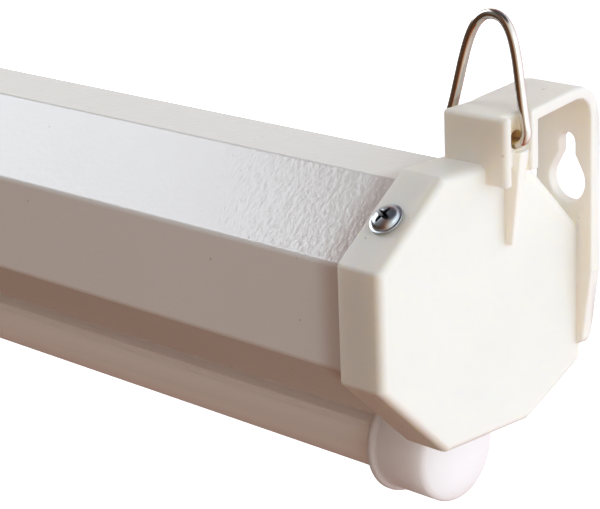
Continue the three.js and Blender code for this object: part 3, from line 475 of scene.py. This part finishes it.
def rounded_path(points, radius, steps, least_turn=4):
    """An open path with arcs at its corners, as (point, left-hand normal) pairs.

    Corners of less than least_turn degrees stay as they are, and no arc takes more than 0.45 of a side.
    """
    longest_share = 0.45

    def left(direction):
        return Vector((-direction.y, direction.x))

    points = [Vector(p) for p in points]
    pairs = [(points[0], left((points[1] - points[0]).normalized()))]
    for before, point, after in zip(points, points[1:], points[2:]):
        into = (point - before).normalized()
        out = (after - point).normalized()
        turn = math.atan2(into.x * out.y - into.y * out.x, into.dot(out))
        if abs(turn) < math.radians(least_turn):
            pairs.append((point, left((into + out).normalized())))
            continue
        side = math.copysign(1, turn)
        half_turn = math.tan(abs(turn) / 2)
        shorter = min((point - before).length, (after - point).length)
        reach = min(radius * half_turn, longest_share * shorter)
        start = point - into * reach
        centre = start + left(into) * side * reach / half_turn
        for k in range(steps + 1):
            spin = Matrix.Rotation(turn * k / steps, 2)
            pairs.append((centre + spin @ (start - centre), spin @ left(into)))
    pairs.append((points[-1], left((points[-1] - points[-2]).normalized())))
    return pairs


def polar(radius, degrees):
    return radius * math.cos(math.radians(degrees)), radius * math.sin(math.radians(degrees))


def arc(centre, radius, start, end, steps):
    """Points on an arc, with angles in degrees."""
    reaches = [polar(radius, start + (end - start) * k / steps) for k in range(steps + 1)]
    return [(centre[0] + u, centre[1] + v) for u, v in reaches]


def winding(turns, steps):
    """Along a winding of so many turns: the share of it behind, and the cosine and sine of its angle."""
    for k in range(turns * steps + 1):
        angle = 2 * math.pi * k / steps
        yield k / (turns * steps), math.cos(angle), math.sin(angle)


def loft(bm, rows, capped=True):
    """Joins closed rows of as many vertices each; a row may be one vertex again and again."""
    for low, high in zip(rows, rows[1:]):
        for k in range(len(low)):
            after = (k + 1) % len(low)
            corners = list(dict.fromkeys([low[k], low[after], high[after], high[k]]))
            if len(corners) > 2:
                bm.faces.new(corners)
    if capped:
        bm.faces.new(rows[0])
        bm.faces.new(list(reversed(rows[-1])))


def turn_profile(bm, profile, segments, place):
    """Turns (height, radius) points; place gives the vertex for a height and a point on its circle."""
    angles = [2 * math.pi * k / segments for k in range(segments)]
    rows = []
    for height, radius in profile:
        if radius > 0:
            circle = [(radius * math.cos(a), radius * math.sin(a)) for a in angles]
            rows.append([bm.verts.new(place(height, u, v)) for u, v in circle])
        else:
            rows.append([bm.verts.new(place(height, 0, 0))] * segments)
    loft(bm, rows, capped=False)


def smooth_faces(bm, angle):
    """Smooth faces, with the edges sharper than angle degrees left hard."""
    limit = math.radians(angle)
    for face in bm.faces:
        face.smooth = True
    for edge in bm.edges:
        edge.smooth = len(edge.link_faces) == 2 and edge.calc_face_angle(0) < limit


def new_piece(name, bm, material):
    mesh = bpy.data.meshes.new(name)
    bm.to_mesh(mesh)
    bm.free()
    mesh.materials.append(material)
    return add_object(name, mesh)


def even_normals(piece):
    piece.modifiers.new("even_normals", "WEIGHTED_NORMAL").keep_sharp = True


def finish_mesh(name, bm, material, smooth_angle=HARD_ANGLE, weighted=True):
    """Makes a piece of a bmesh: outward faces, smooth but for edges sharper than smooth_angle degrees."""
    bmesh.ops.remove_doubles(bm, verts=bm.verts, dist=0.01 * MM)
    bmesh.ops.recalc_face_normals(bm, faces=bm.faces)
    smooth_faces(bm, smooth_angle)
    piece = new_piece(name, bm, material)
    if weighted:
        even_normals(piece)
    return piece


def lofted(name, rows, material, **smoothing):
    """A piece through closed rows of points, with flat ends."""
    bm = bmesh.new()
    loft(bm, [[bm.verts.new(point) for point in row] for row in rows])
    return finish_mesh(name, bm, material, **smoothing)


def sheet_section(name, path, material, centre, thickness, radius, steps, half_length):
    """Sheet metal bent along path, a line in mm through the middle of its thickness, and run along X."""
    bm = bmesh.new()
    pairs = rounded_path([(y * MM, z * MM) for y, z in path], radius, steps)
    edges = []
    for reach in (thickness / 2, -thickness / 2):
        for x in (-half_length, half_length):
            edges.append([
                bm.verts.new((x, centre[0] + p.x + n.x * reach, centre[1] + p.y + n.y * reach)) for p, n in pairs])
    loft(bm, [(a, b, d, c) for a, b, c, d in zip(*edges)])
    return finish_mesh(name, bm, material)


def put(piece, body, slot, *replaced):
    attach(piece, body)
    if replaced:
        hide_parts(*replaced)


# End caps

# The cross hole that the hanging ring swings in, in mm
RING_HOLE_Y = -29.0
RING_HOLE_Z = 6.5
RING_HOLE_RADIUS = 2.6


def in_ring_hole(point):
    return math.hypot(point.y - RING_HOLE_Y, point.z - RING_HOLE_Z) < RING_HOLE_RADIUS


def crossing(a, b, c, d):
    """Where the flat stretches a to b and c to d cross, or None."""
    parallel, end_share = 1e-14, 1e-4
    first, second = b - a, d - c
    spread = first.cross(second)
    if abs(spread) < parallel:
        return None
    along, across = ((c - a).cross(side) / spread for side in (second, first))
    inside = all(end_share < share < 1 - end_share for share in (along, across))
    return a + first * along if inside else None


def folded_spots(mesh, flatness=0.02 * MM):
    """Where faces cross over themselves or leave their own plane, because roundings run into each other."""
    least_area = 1e-9
    spots = []
    for polygon in mesh.polygons:
        corners = [mesh.vertices[i].co for i in polygon.vertices]
        if polygon.area < least_area:
            continue
        middle = sum(corners, Vector()) / len(corners)
        flat = polygon.normal.to_track_quat("Z", "Y").to_matrix().transposed()
        turned_flat = [flat @ (corner - middle) for corner in corners]
        if len(corners) > 4:
            heights = sorted(point.z for point in turned_flat)
            plane = heights[len(heights) // 2]
            spots += [c for c, point in zip(corners, turned_flat) if abs(point.z - plane) > flatness]
        outline = [point.to_2d() for point in turned_flat]
        count = len(outline)
        for i in range(count):
            for k in range(i + 2, count - (i == 0)):
                cross = crossing(outline[i], outline[(i + 1) % count], outline[k], outline[(k + 1) % count])
                if cross is not None:
                    spots.append(flat.transposed() @ cross.to_3d() + middle)
    return spots


def distance_to_edge(spot, start, end):
    along = end - start
    share = min(1.0, max(0.0, (spot - start).dot(along) / along.length_squared))
    return (start + along * share - spot).length


def keep_folds_sharp(piece, rounds=5, reach=0.4 * MM, growth=0.12 * MM):
    """Takes the rounding off edges near folded faces, each round a little further away, until none is folded."""
    weights = piece.data.attributes["bevel_weight_edge"].data
    for round_number in range(rounds):
        rounded = piece.evaluated_get(bpy.context.evaluated_depsgraph_get())
        spots = folded_spots(rounded.to_mesh())
        rounded.to_mesh_clear()
        if not spots:
            return
        near = reach + growth * round_number
        for edge in piece.data.edges:
            ends = [piece.data.vertices[i].co for i in edge.vertices]
            if weights[edge.index].value > 0 and any(distance_to_edge(spot, *ends) < near for spot in spots):
                weights[edge.index].value = 0
                edge.use_edge_sharp = True
        piece.update_tag()


def eased_copy(name, node, material, edge_width, widest, segments=3, angle=40):
    """A copy of a CAD node with its flat faces made whole and its sharp edges rounded, each by its own width.

    Edges where the rounding would fold a face stay sharp.
    """
    bm = bmesh.new()
    bm.from_mesh(nodes[node].data)
    bmesh.ops.remove_doubles(bm, verts=bm.verts, dist=0.02 * MM)
    bmesh.ops.dissolve_limit(bm, angle_limit=math.radians(1.5), verts=bm.verts, edges=bm.edges)
    bmesh.ops.dissolve_degenerate(bm, dist=0.03 * MM, edges=bm.edges)
    weight = bm.edges.layers.float.new("bevel_weight_edge")
    for edge in bm.edges:
        if len(edge.link_faces) == 2 and edge.calc_face_angle(0) > math.radians(angle):
            edge[weight] = edge_width(edge) / widest
    # ring_hole_shade marks the inside of the ring's hole, where the moulding is painted in shade
    shade = bm.verts.layers.float.new("ring_hole_shade")
    for vert in bm.verts:
        if in_ring_hole(vert.co / MM):
            vert[shade] = 1.0
    for face in bm.faces:
        face.smooth = True
    piece = new_piece(name, bm, material)
    bevel = piece.modifiers.new("eased_edges", "BEVEL")
    bevel.width = widest * MM
    bevel.segments = segments
    bevel.limit_method = "WEIGHT"
    bevel.use_clamp_overlap = False
    bevel.miter_outer = "MITER_ARC"
    even_normals(piece)
    keep_folds_sharp(piece)
    return piece


def cap_edge_width(edge):
    """How far an edge of the cap is rounded, in mm: most at the block's corners, less at the cup's lip."""
    front, outer, inner, top, foot, lip = -36.6, 689.5, 670.1, 12.8, -4.0, 663.7
    near = 0.15
    ends = [vert.co / MM for vert in edge.verts]
    along_top = all(end.z > top - near for end in ends)
    if all(in_ring_hole(end) for end in ends):
        return 0.12
    if not edge.is_convex:
        return 0.3
    if all(abs(end.y - front) < near and end.z > foot for end in ends):
        if all(abs(end.x) > outer - near for end in ends):
            return 1.5
        if all(abs(end.x) < inner + near for end in ends):
            return 0.6
        if along_top:
            return 1.2
    if along_top or all(abs(end.x) < lip + near for end in ends):
        return 0.8
    return 0.5


def add_caps(ivory):
    widest_rounding = 1.5
    for end, _ in ENDS:
        cap = eased_copy(f"moulded_cap_{end}", f"end_cap_{end}", ivory, cap_edge_width, widest_rounding)
        put(cap, "housing", "cap_plastic", f"end_cap_{end}")


# Casing

# The cap's eight-sided section in mm, from the top of the front upper slant, anticlockwise seen from +X
CAP_OUTLINE = [
    (-13.9, 34), (-36.2, 15.9), (-36.2, -13.1), (-14.1, -34), (15.7, -34), (36.2, -23.5), (36.2, 11), (13.7, 34)]

# In mm: the sheet, how far the casing lies inside the cap's outline, and its rear top corner inside that
CASING_SHEET = 0.8
CASING_INSET = 3.3
REAR_TOP_INSET = 3.4


def casing_path():
    """The middle of the casing's sheet in mm, from one hem of the fabric slot round to the other."""
    slot_front, slot_rear, hem = 5.7, 14.3, 4.6
    outline = inset_outline(CAP_OUTLINE, CASING_INSET)
    outline[7] = (outline[7][0] - REAR_TOP_INSET, outline[7][1])
    middle = inset_outline(outline, CASING_SHEET / 2)
    top_front, front_high, front_low, bottom_front, bottom_rear, rear_low, rear_high, top_rear = middle
    floor = bottom_front[1]
    return [
        (slot_front, floor + hem), (slot_front, floor), bottom_front, front_low, front_high, top_front, top_rear,
        rear_high, rear_low, bottom_rear, (slot_rear, floor), (slot_rear, floor + hem)]


def add_casing(enamel):
    piece = sheet_section(
        "casing_shell", casing_path(), enamel, (SECTION_Y, SECTION_Z),
        thickness=CASING_SHEET * MM, radius=1.6 * MM, steps=8, half_length=680 * MM)
    put(piece, "housing", "casing_paint", "casing")


# Weight bar

BAR_Y = SECTION_Y + 10 * MM
BAR_Z = SECTION_Z - 45.6 * MM
BAR_RADIUS = 10.5
BAR_WALL = 1.2


def bar_path():
    """The middle of the bar's wall in mm, from one edge of its slot round to the other.

    A narrow groove under each ridge leaves a bead along the ridge.
    """
    ridge, lip, step, slot = 29, 2.6, 0.5, 1.0
    groove = ((3.4, 0), (4.4, 0.28), (8.6, 0.28), (9.6, 0))
    low = [(180 - ridge, 0)]
    low += [(180 - ridge + angle, depth) for angle, depth in groove]
    low += [(180 - ridge + angle, 0) for angle in range(14, 2 * ridge + 180 - 12, 5)]
    low += [(360 + ridge - angle, depth) for angle, depth in reversed(groove)]
    low += [(360 + ridge, 0)]
    low = [polar(BAR_RADIUS - depth, angle) for angle, depth in low]
    ridge_x, ridge_z = polar(BAR_RADIUS, ridge)
    lip_height = math.sqrt(BAR_RADIUS**2 - lip**2) - step
    outline = [
        *low, (ridge_x - step, ridge_z + step / 2), (lip, lip_height), (-lip, lip_height),
        (-ridge_x + step, ridge_z + step / 2)]
    middle = inset_outline(outline, BAR_WALL / 2)
    count = len(low)
    height = middle[count + 1][1]
    return [(-slot, height), *middle[count + 2:], *middle[:count + 2], (slot, height)]


def add_bar(enamel, white):
    piece = sheet_section(
        "bar_shell", bar_path(), enamel, (BAR_Y, BAR_Z),
        thickness=BAR_WALL * MM, radius=0.65 * MM, steps=4, half_length=645.8 * MM)
    put(piece, "bar", "bar_paint", "bar_tube")
    for end, side in ENDS:
        put(add_bar_plug(f"bar_plug_{end}_fine", side, white), "bar", "plug_plastic", f"bar_plug_{end}")


def add_bar_plug(name, side, white):
    """A push-in plug: a spigot in the bar, a flange, and a body with an eased end round a shallow face."""
    tip = HALF_SPAN - 18.9 * MM
    flange_out = tip - 16.3 * MM
    flange_in = flange_out - 2 * MM
    start = flange_in - 9 * MM
    body, flange, spigot = 13.3 * MM, 14.5 * MM, 7.3 * MM
    ease, rim, root, chamfer = 1.5 * MM, 0.6 * MM, 0.5 * MM, 1 * MM
    dish, dish_slope = 0.12 * MM, 1.2 * MM
    profile = [(start, 0), (start, spigot - chamfer), (start + chamfer, spigot), (flange_in, spigot)]
    profile += arc((flange_in + rim, flange - rim), rim, 180, 90, 4)
    profile += arc((flange_out - rim, flange - rim), rim, 90, 0, 4)
    profile += arc((flange_out + root, body + root), root, 180, 270, 4)
    profile += arc((tip - ease, body - ease), ease, 90, 0, 8)
    profile += [(tip - dish, body - ease - dish_slope), (tip - dish, 0)]
    bm = bmesh.new()
    turn_profile(bm, profile, segments=96, place=lambda x, u, v: (side * x, BAR_Y + u, BAR_Z + v))
    return finish_mesh(name, bm, white)


# Bent wire, screws and other repeats by Geometry Nodes


def new_geometry_tree(name, inputs):
    geometry = {"Geometry": "NodeSocketGeometry"}
    return new_group("GeometryNodeTree", name, {**geometry, **inputs}, geometry)


def end_geometry(tree, out, geometry, material):
    realize = add_node(tree, "GeometryNodeRealizeInstances", {"Geometry": geometry})
    inputs = {"Geometry": realize.outputs["Geometry"], "Material": material}
    feed(tree, out["Geometry"], add_node(tree, "GeometryNodeSetMaterial", inputs).outputs["Geometry"])


def build_round_wire():
    """A round wire along a curve, closed at its ends."""
    tree, inside, out = new_geometry_tree(
        "round_wire", {"Radius": 1.5 * MM, "Sides": 20, "Metal": "NodeSocketMaterial"})
    inputs = {"Radius": inside["Radius"], "Resolution": inside["Sides"]}
    circle = add_node(tree, "GeometryNodeCurvePrimitiveCircle", inputs).outputs["Curve"]
    inputs = {"Curve": inside["Geometry"], "Profile Curve": circle, "Fill Caps": True}
    wire = add_node(tree, "GeometryNodeCurveToMesh", inputs).outputs["Mesh"]
    smooth = add_node(tree, "GeometryNodeSetShadeSmooth", {"Geometry": wire}).outputs["Geometry"]
    end_geometry(tree, out, smooth, inside["Metal"])
    return tree


def build_screws_on_points():
    """A screw on each point, its head along the point's normal and turned by the point's recess_turn."""
    tree, inside, out = new_geometry_tree(
        "screws_on_points", {"Screw": "NodeSocketObject", "Scale": 1.0, "Plate": "NodeSocketMaterial"})
    screw = add_node(tree, "GeometryNodeObjectInfo", {"Object": inside["Screw"]}).outputs["Geometry"]
    outward, turn = (
        add_node(tree, "GeometryNodeInputNamedAttribute", {"Name": name}, data_type=kind).outputs["Attribute"]
        for name, kind in (("outward", "FLOAT_VECTOR"), ("recess_turn", "FLOAT")))
    aligned = add_node(tree, "FunctionNodeAlignRotationToVector", {"Vector": outward}).outputs["Rotation"]
    spin = add_node(tree, "FunctionNodeAxisAngleToRotation", {"Angle": turn}).outputs["Rotation"]
    inputs = {"Rotation": aligned, "Rotate By": spin}
    turned = add_node(tree, "FunctionNodeRotateRotation", inputs, rotation_space="LOCAL").outputs["Rotation"]
    inputs = {"Points": inside["Geometry"], "Instance": screw, "Rotation": turned, "Scale": inside["Scale"]}
    screws = add_node(tree, "GeometryNodeInstanceOnPoints", inputs).outputs["Instances"]
    end_geometry(tree, out, screws, inside["Plate"])
    return tree


def frozen(name, source):
    """The evaluated source as a plain mesh piece; the source is removed."""
    depsgraph = bpy.context.evaluated_depsgraph_get()
    mesh = bpy.data.meshes.new_from_object(source.evaluated_get(depsgraph), depsgraph=depsgraph)
    mesh.name = name
    piece = add_object(name, mesh)
    bpy.data.objects.remove(source)
    return piece


def run_tree(name, source, tree, values):
    """The source put through a geometry tree, whose inputs are set by their sockets' identifiers."""
    modifier = source.modifiers.new(tree.name, "NODES")
    modifier.node_group = tree
    identifiers = {item.name: item.identifier for item in tree.interface.items_tree if item.in_out == "INPUT"}
    for socket, value in values.items():
        modifier[identifiers[socket]] = value
    return frozen(name, source)


def wire_piece(name, points, radius, sides, metal, tree):
    curve = bpy.data.curves.new(name + "_path", "CURVE")
    curve.dimensions = "3D"
    spline = curve.splines.new("POLY")
    spline.points.add(len(points) - 1)
    for target, point in zip(spline.points, points):
        target.co = (*point, 1)
    source = add_object(name + "_path", curve)
    piece = run_tree(name, source, tree, {"Radius": radius, "Sides": sides, "Metal": metal})
    for edge in piece.data.edges:
        edge.use_edge_sharp = False
    return piece


def ring_points(side):
    """The hanging ring's centreline: both wire ends meet in the block's hole, and the legs bow out to the crown."""
    foot_turn, lean = 17, math.radians(5.2)
    end_gap, bend, bend_x, crown_height, leg_pull, crown_pull = 0.5, 2.6, 9.42, 29.25, 12.5, 8.1
    bend_steps, leg_steps = 12, 40
    half = [(end_gap, 0), (bend_x / 2, 0)]
    half += arc((bend_x, bend), bend, -90, foot_turn, bend_steps)
    foot = Vector(half.pop())
    foot_angle = math.radians(foot_turn)
    leg = Vector((-math.sin(foot_angle), math.cos(foot_angle))) * leg_pull
    crown = Vector((0, crown_height))
    half += interpolate_bezier(foot, foot + leg, crown + Vector((crown_pull, 0)), crown, leg_steps)
    outline = half + [(-u, v) for u, v in reversed(half[:-1])]
    centre = Vector((side * (HALF_SPAN - 6.2 * MM), SECTION_Y + 8 * MM, SECTION_Z + 38.5 * MM))
    return [centre + Vector((u, v * math.sin(lean), v * math.cos(lean))) * MM for u, v in outline]


def add_wires(ring_metal, spring_metal):
    tree = build_round_wire()
    ring_wire, ring_sides = 1.25 * MM, 24
    for end, side in ENDS:
        ring = wire_piece(f"hanging_ring_{end}", ring_points(side), ring_wire, ring_sides, ring_metal, tree)
        put(ring, f"{end}_ring", "ring_wire", f"hanger_ring_{end}")
    low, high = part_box("roller_spring")
    centre = (low + high) / 2
    turns, steps, radius, wire, sides = 22, 20, 7.45 * MM, 1 * MM, 10
    start, end = low.x + wire, high.x - wire
    helix = [(start + (end - start) * share, centre.y + radius * cos, centre.z + radius * sin)
             for share, cos, sin in winding(turns, steps)]
    put(wire_piece("torsion_spring", helix, wire, sides, spring_metal, tree), "roller", "spring_steel", "roller_spring")


# The cap screw in mm: a thin flange, and a dome on it with a cross recess
FLANGE_RADIUS = 4.3
FLANGE_THICKNESS = 0.5
DOME_RADIUS = 3.65
DOME_FOOT = 0.65
DOME_RISE = 1.65
DOME_TOP = DOME_FOOT + DOME_RISE
SHANK_RADIUS = 2
SHANK_LENGTH = 12

# The recess at four heights, from above the dome to its floor: height, reach of the arms, half their width
RECESS_ROWS = ((2.7, 2.7, 0.52), (2.05, 2.35, 0.38), (1.8, 2.15, 0.34), (0.6, 1.1, 0.28))


def dome_height(radius):
    return DOME_FOOT + DOME_RISE * math.sqrt(max(0.0, 1 - (radius / DOME_RADIUS) ** 2))


def screw_profile():
    """(height, radius) points from the tip of the shank over the flange's eased rim to the dome's top."""
    edge, top = FLANGE_RADIUS, FLANGE_THICKNESS
    profile = [
        (-SHANK_LENGTH, 0), (2 - SHANK_LENGTH, SHANK_RADIUS), (0, SHANK_RADIUS), (0, edge - 0.15), (0.06, edge - 0.04),
        (0.18, edge), (top - 0.16, edge), (top - 0.04, edge - 0.06), (top, edge - 0.2), (top, DOME_RADIUS + 0.16),
        (top + 0.04, DOME_RADIUS + 0.05), (DOME_FOOT, DOME_RADIUS)]
    for angle in range(6, 90, 6):
        turn = math.radians(angle)
        profile.append((DOME_FOOT + DOME_RISE * math.sin(turn), DOME_RADIUS * math.cos(turn)))
    return [*profile, (DOME_TOP, 0)]


def make_recess_cutter():
    """A cross with narrow arms that narrows towards its floor, with chamfered inner corners."""
    inner_corner = 1.7
    rows = []
    for height, reach, half in RECESS_ROWS:
        row = []
        for quarter in range(4):
            cos, sin = math.cos(math.pi / 2 * quarter), math.sin(math.pi / 2 * quarter)
            for u, v in ((reach, -half), (reach, half), (half * inner_corner, half * inner_corner)):
                row.append(((u * cos - v * sin) * MM, (u * sin + v * cos) * MM, height * MM))
        rows.append(row)
    return lofted("recess_cutter", rows, bpy.data.materials.new("cutter"), weighted=False)


def make_screw():
    """A flanged pan-head screw with a cross recess along Z, seated at 0: cap size, scaled down for the handle.

    recess_shade, which paints shade into the recess, is 1 deep in the recess and 0 on the head.
    """
    shade_from, shade_over = 0.03, 0.3
    bm = bmesh.new()
    turn_profile(bm, screw_profile(), segments=64, place=lambda z, u, v: (u * MM, v * MM, z * MM))
    screw = finish_mesh("pan_screw", bm, bpy.data.materials.new("bare_metal"), weighted=False)
    cutter = make_recess_cutter()
    cut = screw.modifiers.new("recess", "BOOLEAN")
    cut.operation = "DIFFERENCE"
    cut.solver = "EXACT"
    cut.object = cutter
    done = frozen("pan_screw_cut", screw)
    bpy.data.objects.remove(cutter)
    bm = bmesh.new()
    bm.from_mesh(done.data)
    shade = bm.verts.layers.float.new("recess_shade")
    for vert in bm.verts:
        x, y, z = vert.co / MM
        radius = math.hypot(x, y)
        if radius < DOME_RADIUS and z > DOME_FOOT / 2:
            vert[shade] = min(1.0, max(0.0, dome_height(radius) - z - shade_from) / shade_over)
    smooth_faces(bm, HARD_ANGLE)
    bm.to_mesh(done.data)
    bm.free()
    return done


def screws_piece(name, places, screw, scale, plate, tree):
    """places are (point, outward, recess turn in degrees)."""
    mesh = bpy.data.meshes.new(name + "_points")
    mesh.from_pydata([point for point, _, _ in places], [], [])
    mesh.attributes.new("outward", "FLOAT_VECTOR", "POINT")
    mesh.attributes.new("recess_turn", "FLOAT", "POINT")
    for i, (_, normal, turn) in enumerate(places):
        mesh.attributes["outward"].data[i].vector = normal
        mesh.attributes["recess_turn"].data[i].value = math.radians(turn)
    source = add_object(name + "_points", mesh)
    return run_tree(name, source, tree, {"Screw": screw, "Scale": scale, "Plate": plate})


def facet_place(start, end):
    """The middle of one side of the cap's outline, and the way it faces, as vectors in Y and Z."""
    outline = [Vector(p) for p in CAP_OUTLINE]
    middle = (outline[start] + outline[end]) / 2
    along = (outline[end] - outline[start]).normalized()
    return Vector((0, middle.x, middle.y)), Vector((0, along.y, -along.x))


# The handle's saddle round the bar, in mm
SADDLE_GAP = 0.3
SADDLE_WALL = 2.4
SADDLE_INNER = BAR_RADIUS + SADDLE_GAP
SADDLE_OUTER = SADDLE_INNER + SADDLE_WALL


def add_screws(plate):
    """Each screw stands a little off its seat, with its recess turned its own way."""
    seat, from_end, handle_spread, handle_head_radius = 0.3 * MM, 7.8 * MM, 22 * MM, 3.2
    tree = build_screws_on_points()
    screw = make_screw()
    places = []
    for _, side in ENDS:
        for facet, turn in (((0, 1), 71), ((4, 5), 20)):
            middle, normal = facet_place(*facet)
            section = Vector((side * (HALF_SPAN - from_end), SECTION_Y, SECTION_Z))
            places.append((middle * MM + normal * seat + section, normal, turn * side))
    cap_screws = screws_piece("cap_screws", places, screw, 1.0, plate, tree)
    put(cap_screws, "housing", "zinc_plate", "cap_screw_right_front", "cap_screw_right_rear",
        "cap_screw_left_front", "cap_screw_left_rear")
    normal = Vector((0, *polar(1, -135)))
    reach = Vector((0, BAR_Y, BAR_Z)) + normal * (SADDLE_OUTER * MM + seat)
    places = []
    for x, turn in ((handle_spread, 15), (-handle_spread, 52)):
        places.append((Vector((x, 0, 0)) + reach, normal, turn))
    handle_screws = screws_piece("handle_screws", places, screw, handle_head_radius / FLANGE_RADIUS, plate, tree)
    put(handle_screws, "bar", "zinc_plate", "handle_screw_right", "handle_screw_left")
    bpy.data.objects.remove(screw)


# Pull handle


def add_handle(plastic):
    """A saddle round the bar's underside, and a grip of rounded section that hangs from it."""
    inner, outer, half = SADDLE_INNER * MM, SADDLE_OUTER * MM, 31 * MM
    ease, lip, first_angle, last_angle, steps = 0.7 * MM, 0.2 * MM, -165, -15, 32
    sections = [
        (inner, -half + ease), (inner + lip, -half), (outer - ease, -half), (outer, -half + ease),
        (outer, half - ease), (outer - ease, half), (inner + lip, half), (inner, half - ease)]
    lines = [[(x, y, z) for y, z in arc((BAR_Y, BAR_Z), r, first_angle, last_angle, steps)] for r, x in sections]
    saddle = lofted("pull_handle_saddle", list(zip(*lines)), plastic, smooth_angle=50)
    put(saddle, "bar", "handle_plastic")

    top, foot = BAR_Z - 12.2 * MM, BAR_Z - outer - 26.5 * MM
    half_top, half_foot, bend, bend_steps = 27.5 * MM, 33.5 * MM, 8 * MM, 10
    side, depth, edge, edge_steps = 1.3 * MM, 2.3 * MM, 2.2 * MM, 5
    section = []
    for quarter, (u, v) in enumerate(((side, depth), (-side, depth), (-side, -depth), (side, -depth))):
        section += arc((u, v), edge, 90 * quarter, 90 * quarter + 90, edge_steps)
    corners = [(-half_top, top), (-half_foot, foot), (half_foot, foot), (half_top, top)]
    rows = [[(p.x + n.x * u, BAR_Y + v, p.y + n.y * u) for u, v in section]
            for p, n in rounded_path(corners, bend, bend_steps)]
    grip = lofted("pull_handle_grip", rows, plastic, smooth_angle=60)
    put(grip, "bar", "handle_plastic", "pull_handle")


# Cloth

CLOTH_WIDTH = 1.27
CLOTH_THICKNESS = 0.24 * MM


def cloth_piece(name, line, cloth, columns):
    """A cloth that follows line, its (y, z) points, with an even thickness; its UV map is in metres."""
    path = [Vector(p) for p in line]
    lengths = [0.0]
    for before, after in zip(path, path[1:]):
        lengths.append(lengths[-1] + (after - before).length)
    normals = []
    for i in range(len(path)):
        along = (path[min(i + 1, len(path) - 1)] - path[max(i - 1, 0)]).normalized()
        normals.append(Vector((-along.y, along.x)))
    bm = bmesh.new()
    uv = bm.loops.layers.uv.new("cloth_metres")
    xs = [CLOTH_WIDTH * (k / columns - 0.5) for k in range(columns + 1)]
    measured = {}
    front, back = [], []
    for rows, reach in ((front, CLOTH_THICKNESS / 2), (back, -CLOTH_THICKNESS / 2)):
        for point, normal, length in zip(path, normals, lengths):
            y, z = point + normal * reach
            rows.append([bm.verts.new((x, y, z)) for x in xs])
            measured.update((vert, (x, length)) for vert, x in zip(rows[-1], xs))

    def face(*corners):
        made = bm.faces.new(corners)
        for loop in made.loops:
            loop[uv].uv = measured[loop.vert]

    for i in range(len(path) - 1):
        for k in range(columns):
            face(front[i][k], front[i][k + 1], front[i + 1][k + 1], front[i + 1][k])
            face(back[i][k], back[i + 1][k], back[i + 1][k + 1], back[i][k + 1])
        for k in (0, columns):
            face(front[i][k], back[i][k], back[i + 1][k], front[i + 1][k])
    for i in (0, len(path) - 1):
        for k in range(columns):
            face(front[i][k], back[i][k], back[i][k + 1], front[i][k + 1])
    return finish_mesh(name, bm, cloth, 60, weighted=False)


def add_cloth(cloth):
    low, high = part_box("fabric_roll")
    axis_y, axis_z = (low.y + high.y) / 2, (low.z + high.z) / 2
    inner, outer, turns, steps = 14.55 * MM, 18.15 * MM, 14, 60
    spiral = []
    for share, cos, sin in winding(turns, steps):
        radius = inner + (outer - inner) * share
        spiral.append((axis_y + radius * cos, axis_z - radius * sin))
    wound = cloth_piece("cloth_wound", spiral, cloth, columns=4)
    put(wound, "roller", "screen_fabric", "fabric_roll")
    low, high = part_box("fabric_drop")
    y = (low.y + high.y) / 2
    rows = 120
    line = [(y, high.z + (low.z - high.z) * k / rows) for k in range(rows + 1)]
    hanging = cloth_piece("cloth_hanging", line, cloth, columns=24)
    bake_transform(hanging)
    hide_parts("fabric_drop")


# Assembly

add_camera()
bpy.context.scene.view_settings.view_transform = "Standard"
light_studio()
add_floor()

zinc, nickel, steel, oiled_spring = (plated_metal(*metal) for metal in (
    ("zinc_plate", ((0.43, 0.455, 0.49), (0.53, 0.555, 0.59)), (0.26, 0.34), (0.4, 1.0, 1.0), 0.01 * MM),
    ("nickel_wire", ((0.58, 0.53, 0.48), (0.72, 0.68, 0.63)), (0.14, 0.22), (1.0, 1.0, 0.2), 0.008 * MM),
    ("roller_steel", ((0.50, 0.51, 0.52), (0.60, 0.61, 0.62)), (0.3, 0.42), (0.02, 1.0, 1.0), 0.02 * MM),
    ("oiled_spring", ((0.16, 0.16, 0.17), (0.24, 0.24, 0.25)), (0.28, 0.4), (1.0, 1.0, 1.0), 0.01 * MM)))
white = plain_finish(
    "white_moulding", GRAIN, {"Pit_Scale": 1900.0, "Drift_Scale": 40.0},
    ((0.88, 0.89, 0.915), (0.91, 0.92, 0.945)), (0.3, 0.4), 0.02 * MM,
    IOR=1.5, Subsurface_Weight=0.95, Subsurface_Radius=(1.0, 0.97, 0.95), Subsurface_Scale=15 * MM)
nylon = plain_finish(
    "nylon_moulding", GRAIN, {"Pit_Scale": 1300.0, "Drift_Scale": 60.0},
    ((0.74, 0.72, 0.65), (0.80, 0.78, 0.72)), (0.5, 0.5), 0.03 * MM, IOR=1.53)
bar_enamel = plain_finish(
    "bar_enamel", LINES, {"Line_Scale": 700.0},
    ((0.89, 0.882, 0.872), (0.96, 0.952, 0.945)), (0.3, 0.44), 0.04 * MM, IOR=1.5)

add_caps(ivory_moulding())
add_casing(white_enamel())
add_bar(bar_enamel, white)
add_screws(zinc)
add_wires(nickel, oiled_spring)
add_handle(white)
add_cloth(screen_cloth())

for material, parts in (
        (steel, ("roller_tube",)), (nylon, ("idle_plug", "idle_bush", "spring_anchor")),
        (zinc, ("idle_pin", "ratchet_head", "spring_spindle", "pawl_upper", "pawl_lower", "pawl_pin_upper",
                "pawl_pin_lower", "hem_rod"))):
    for part in parts:
        nodes[part].data.materials.clear()
        nodes[part].data.materials.append(material)
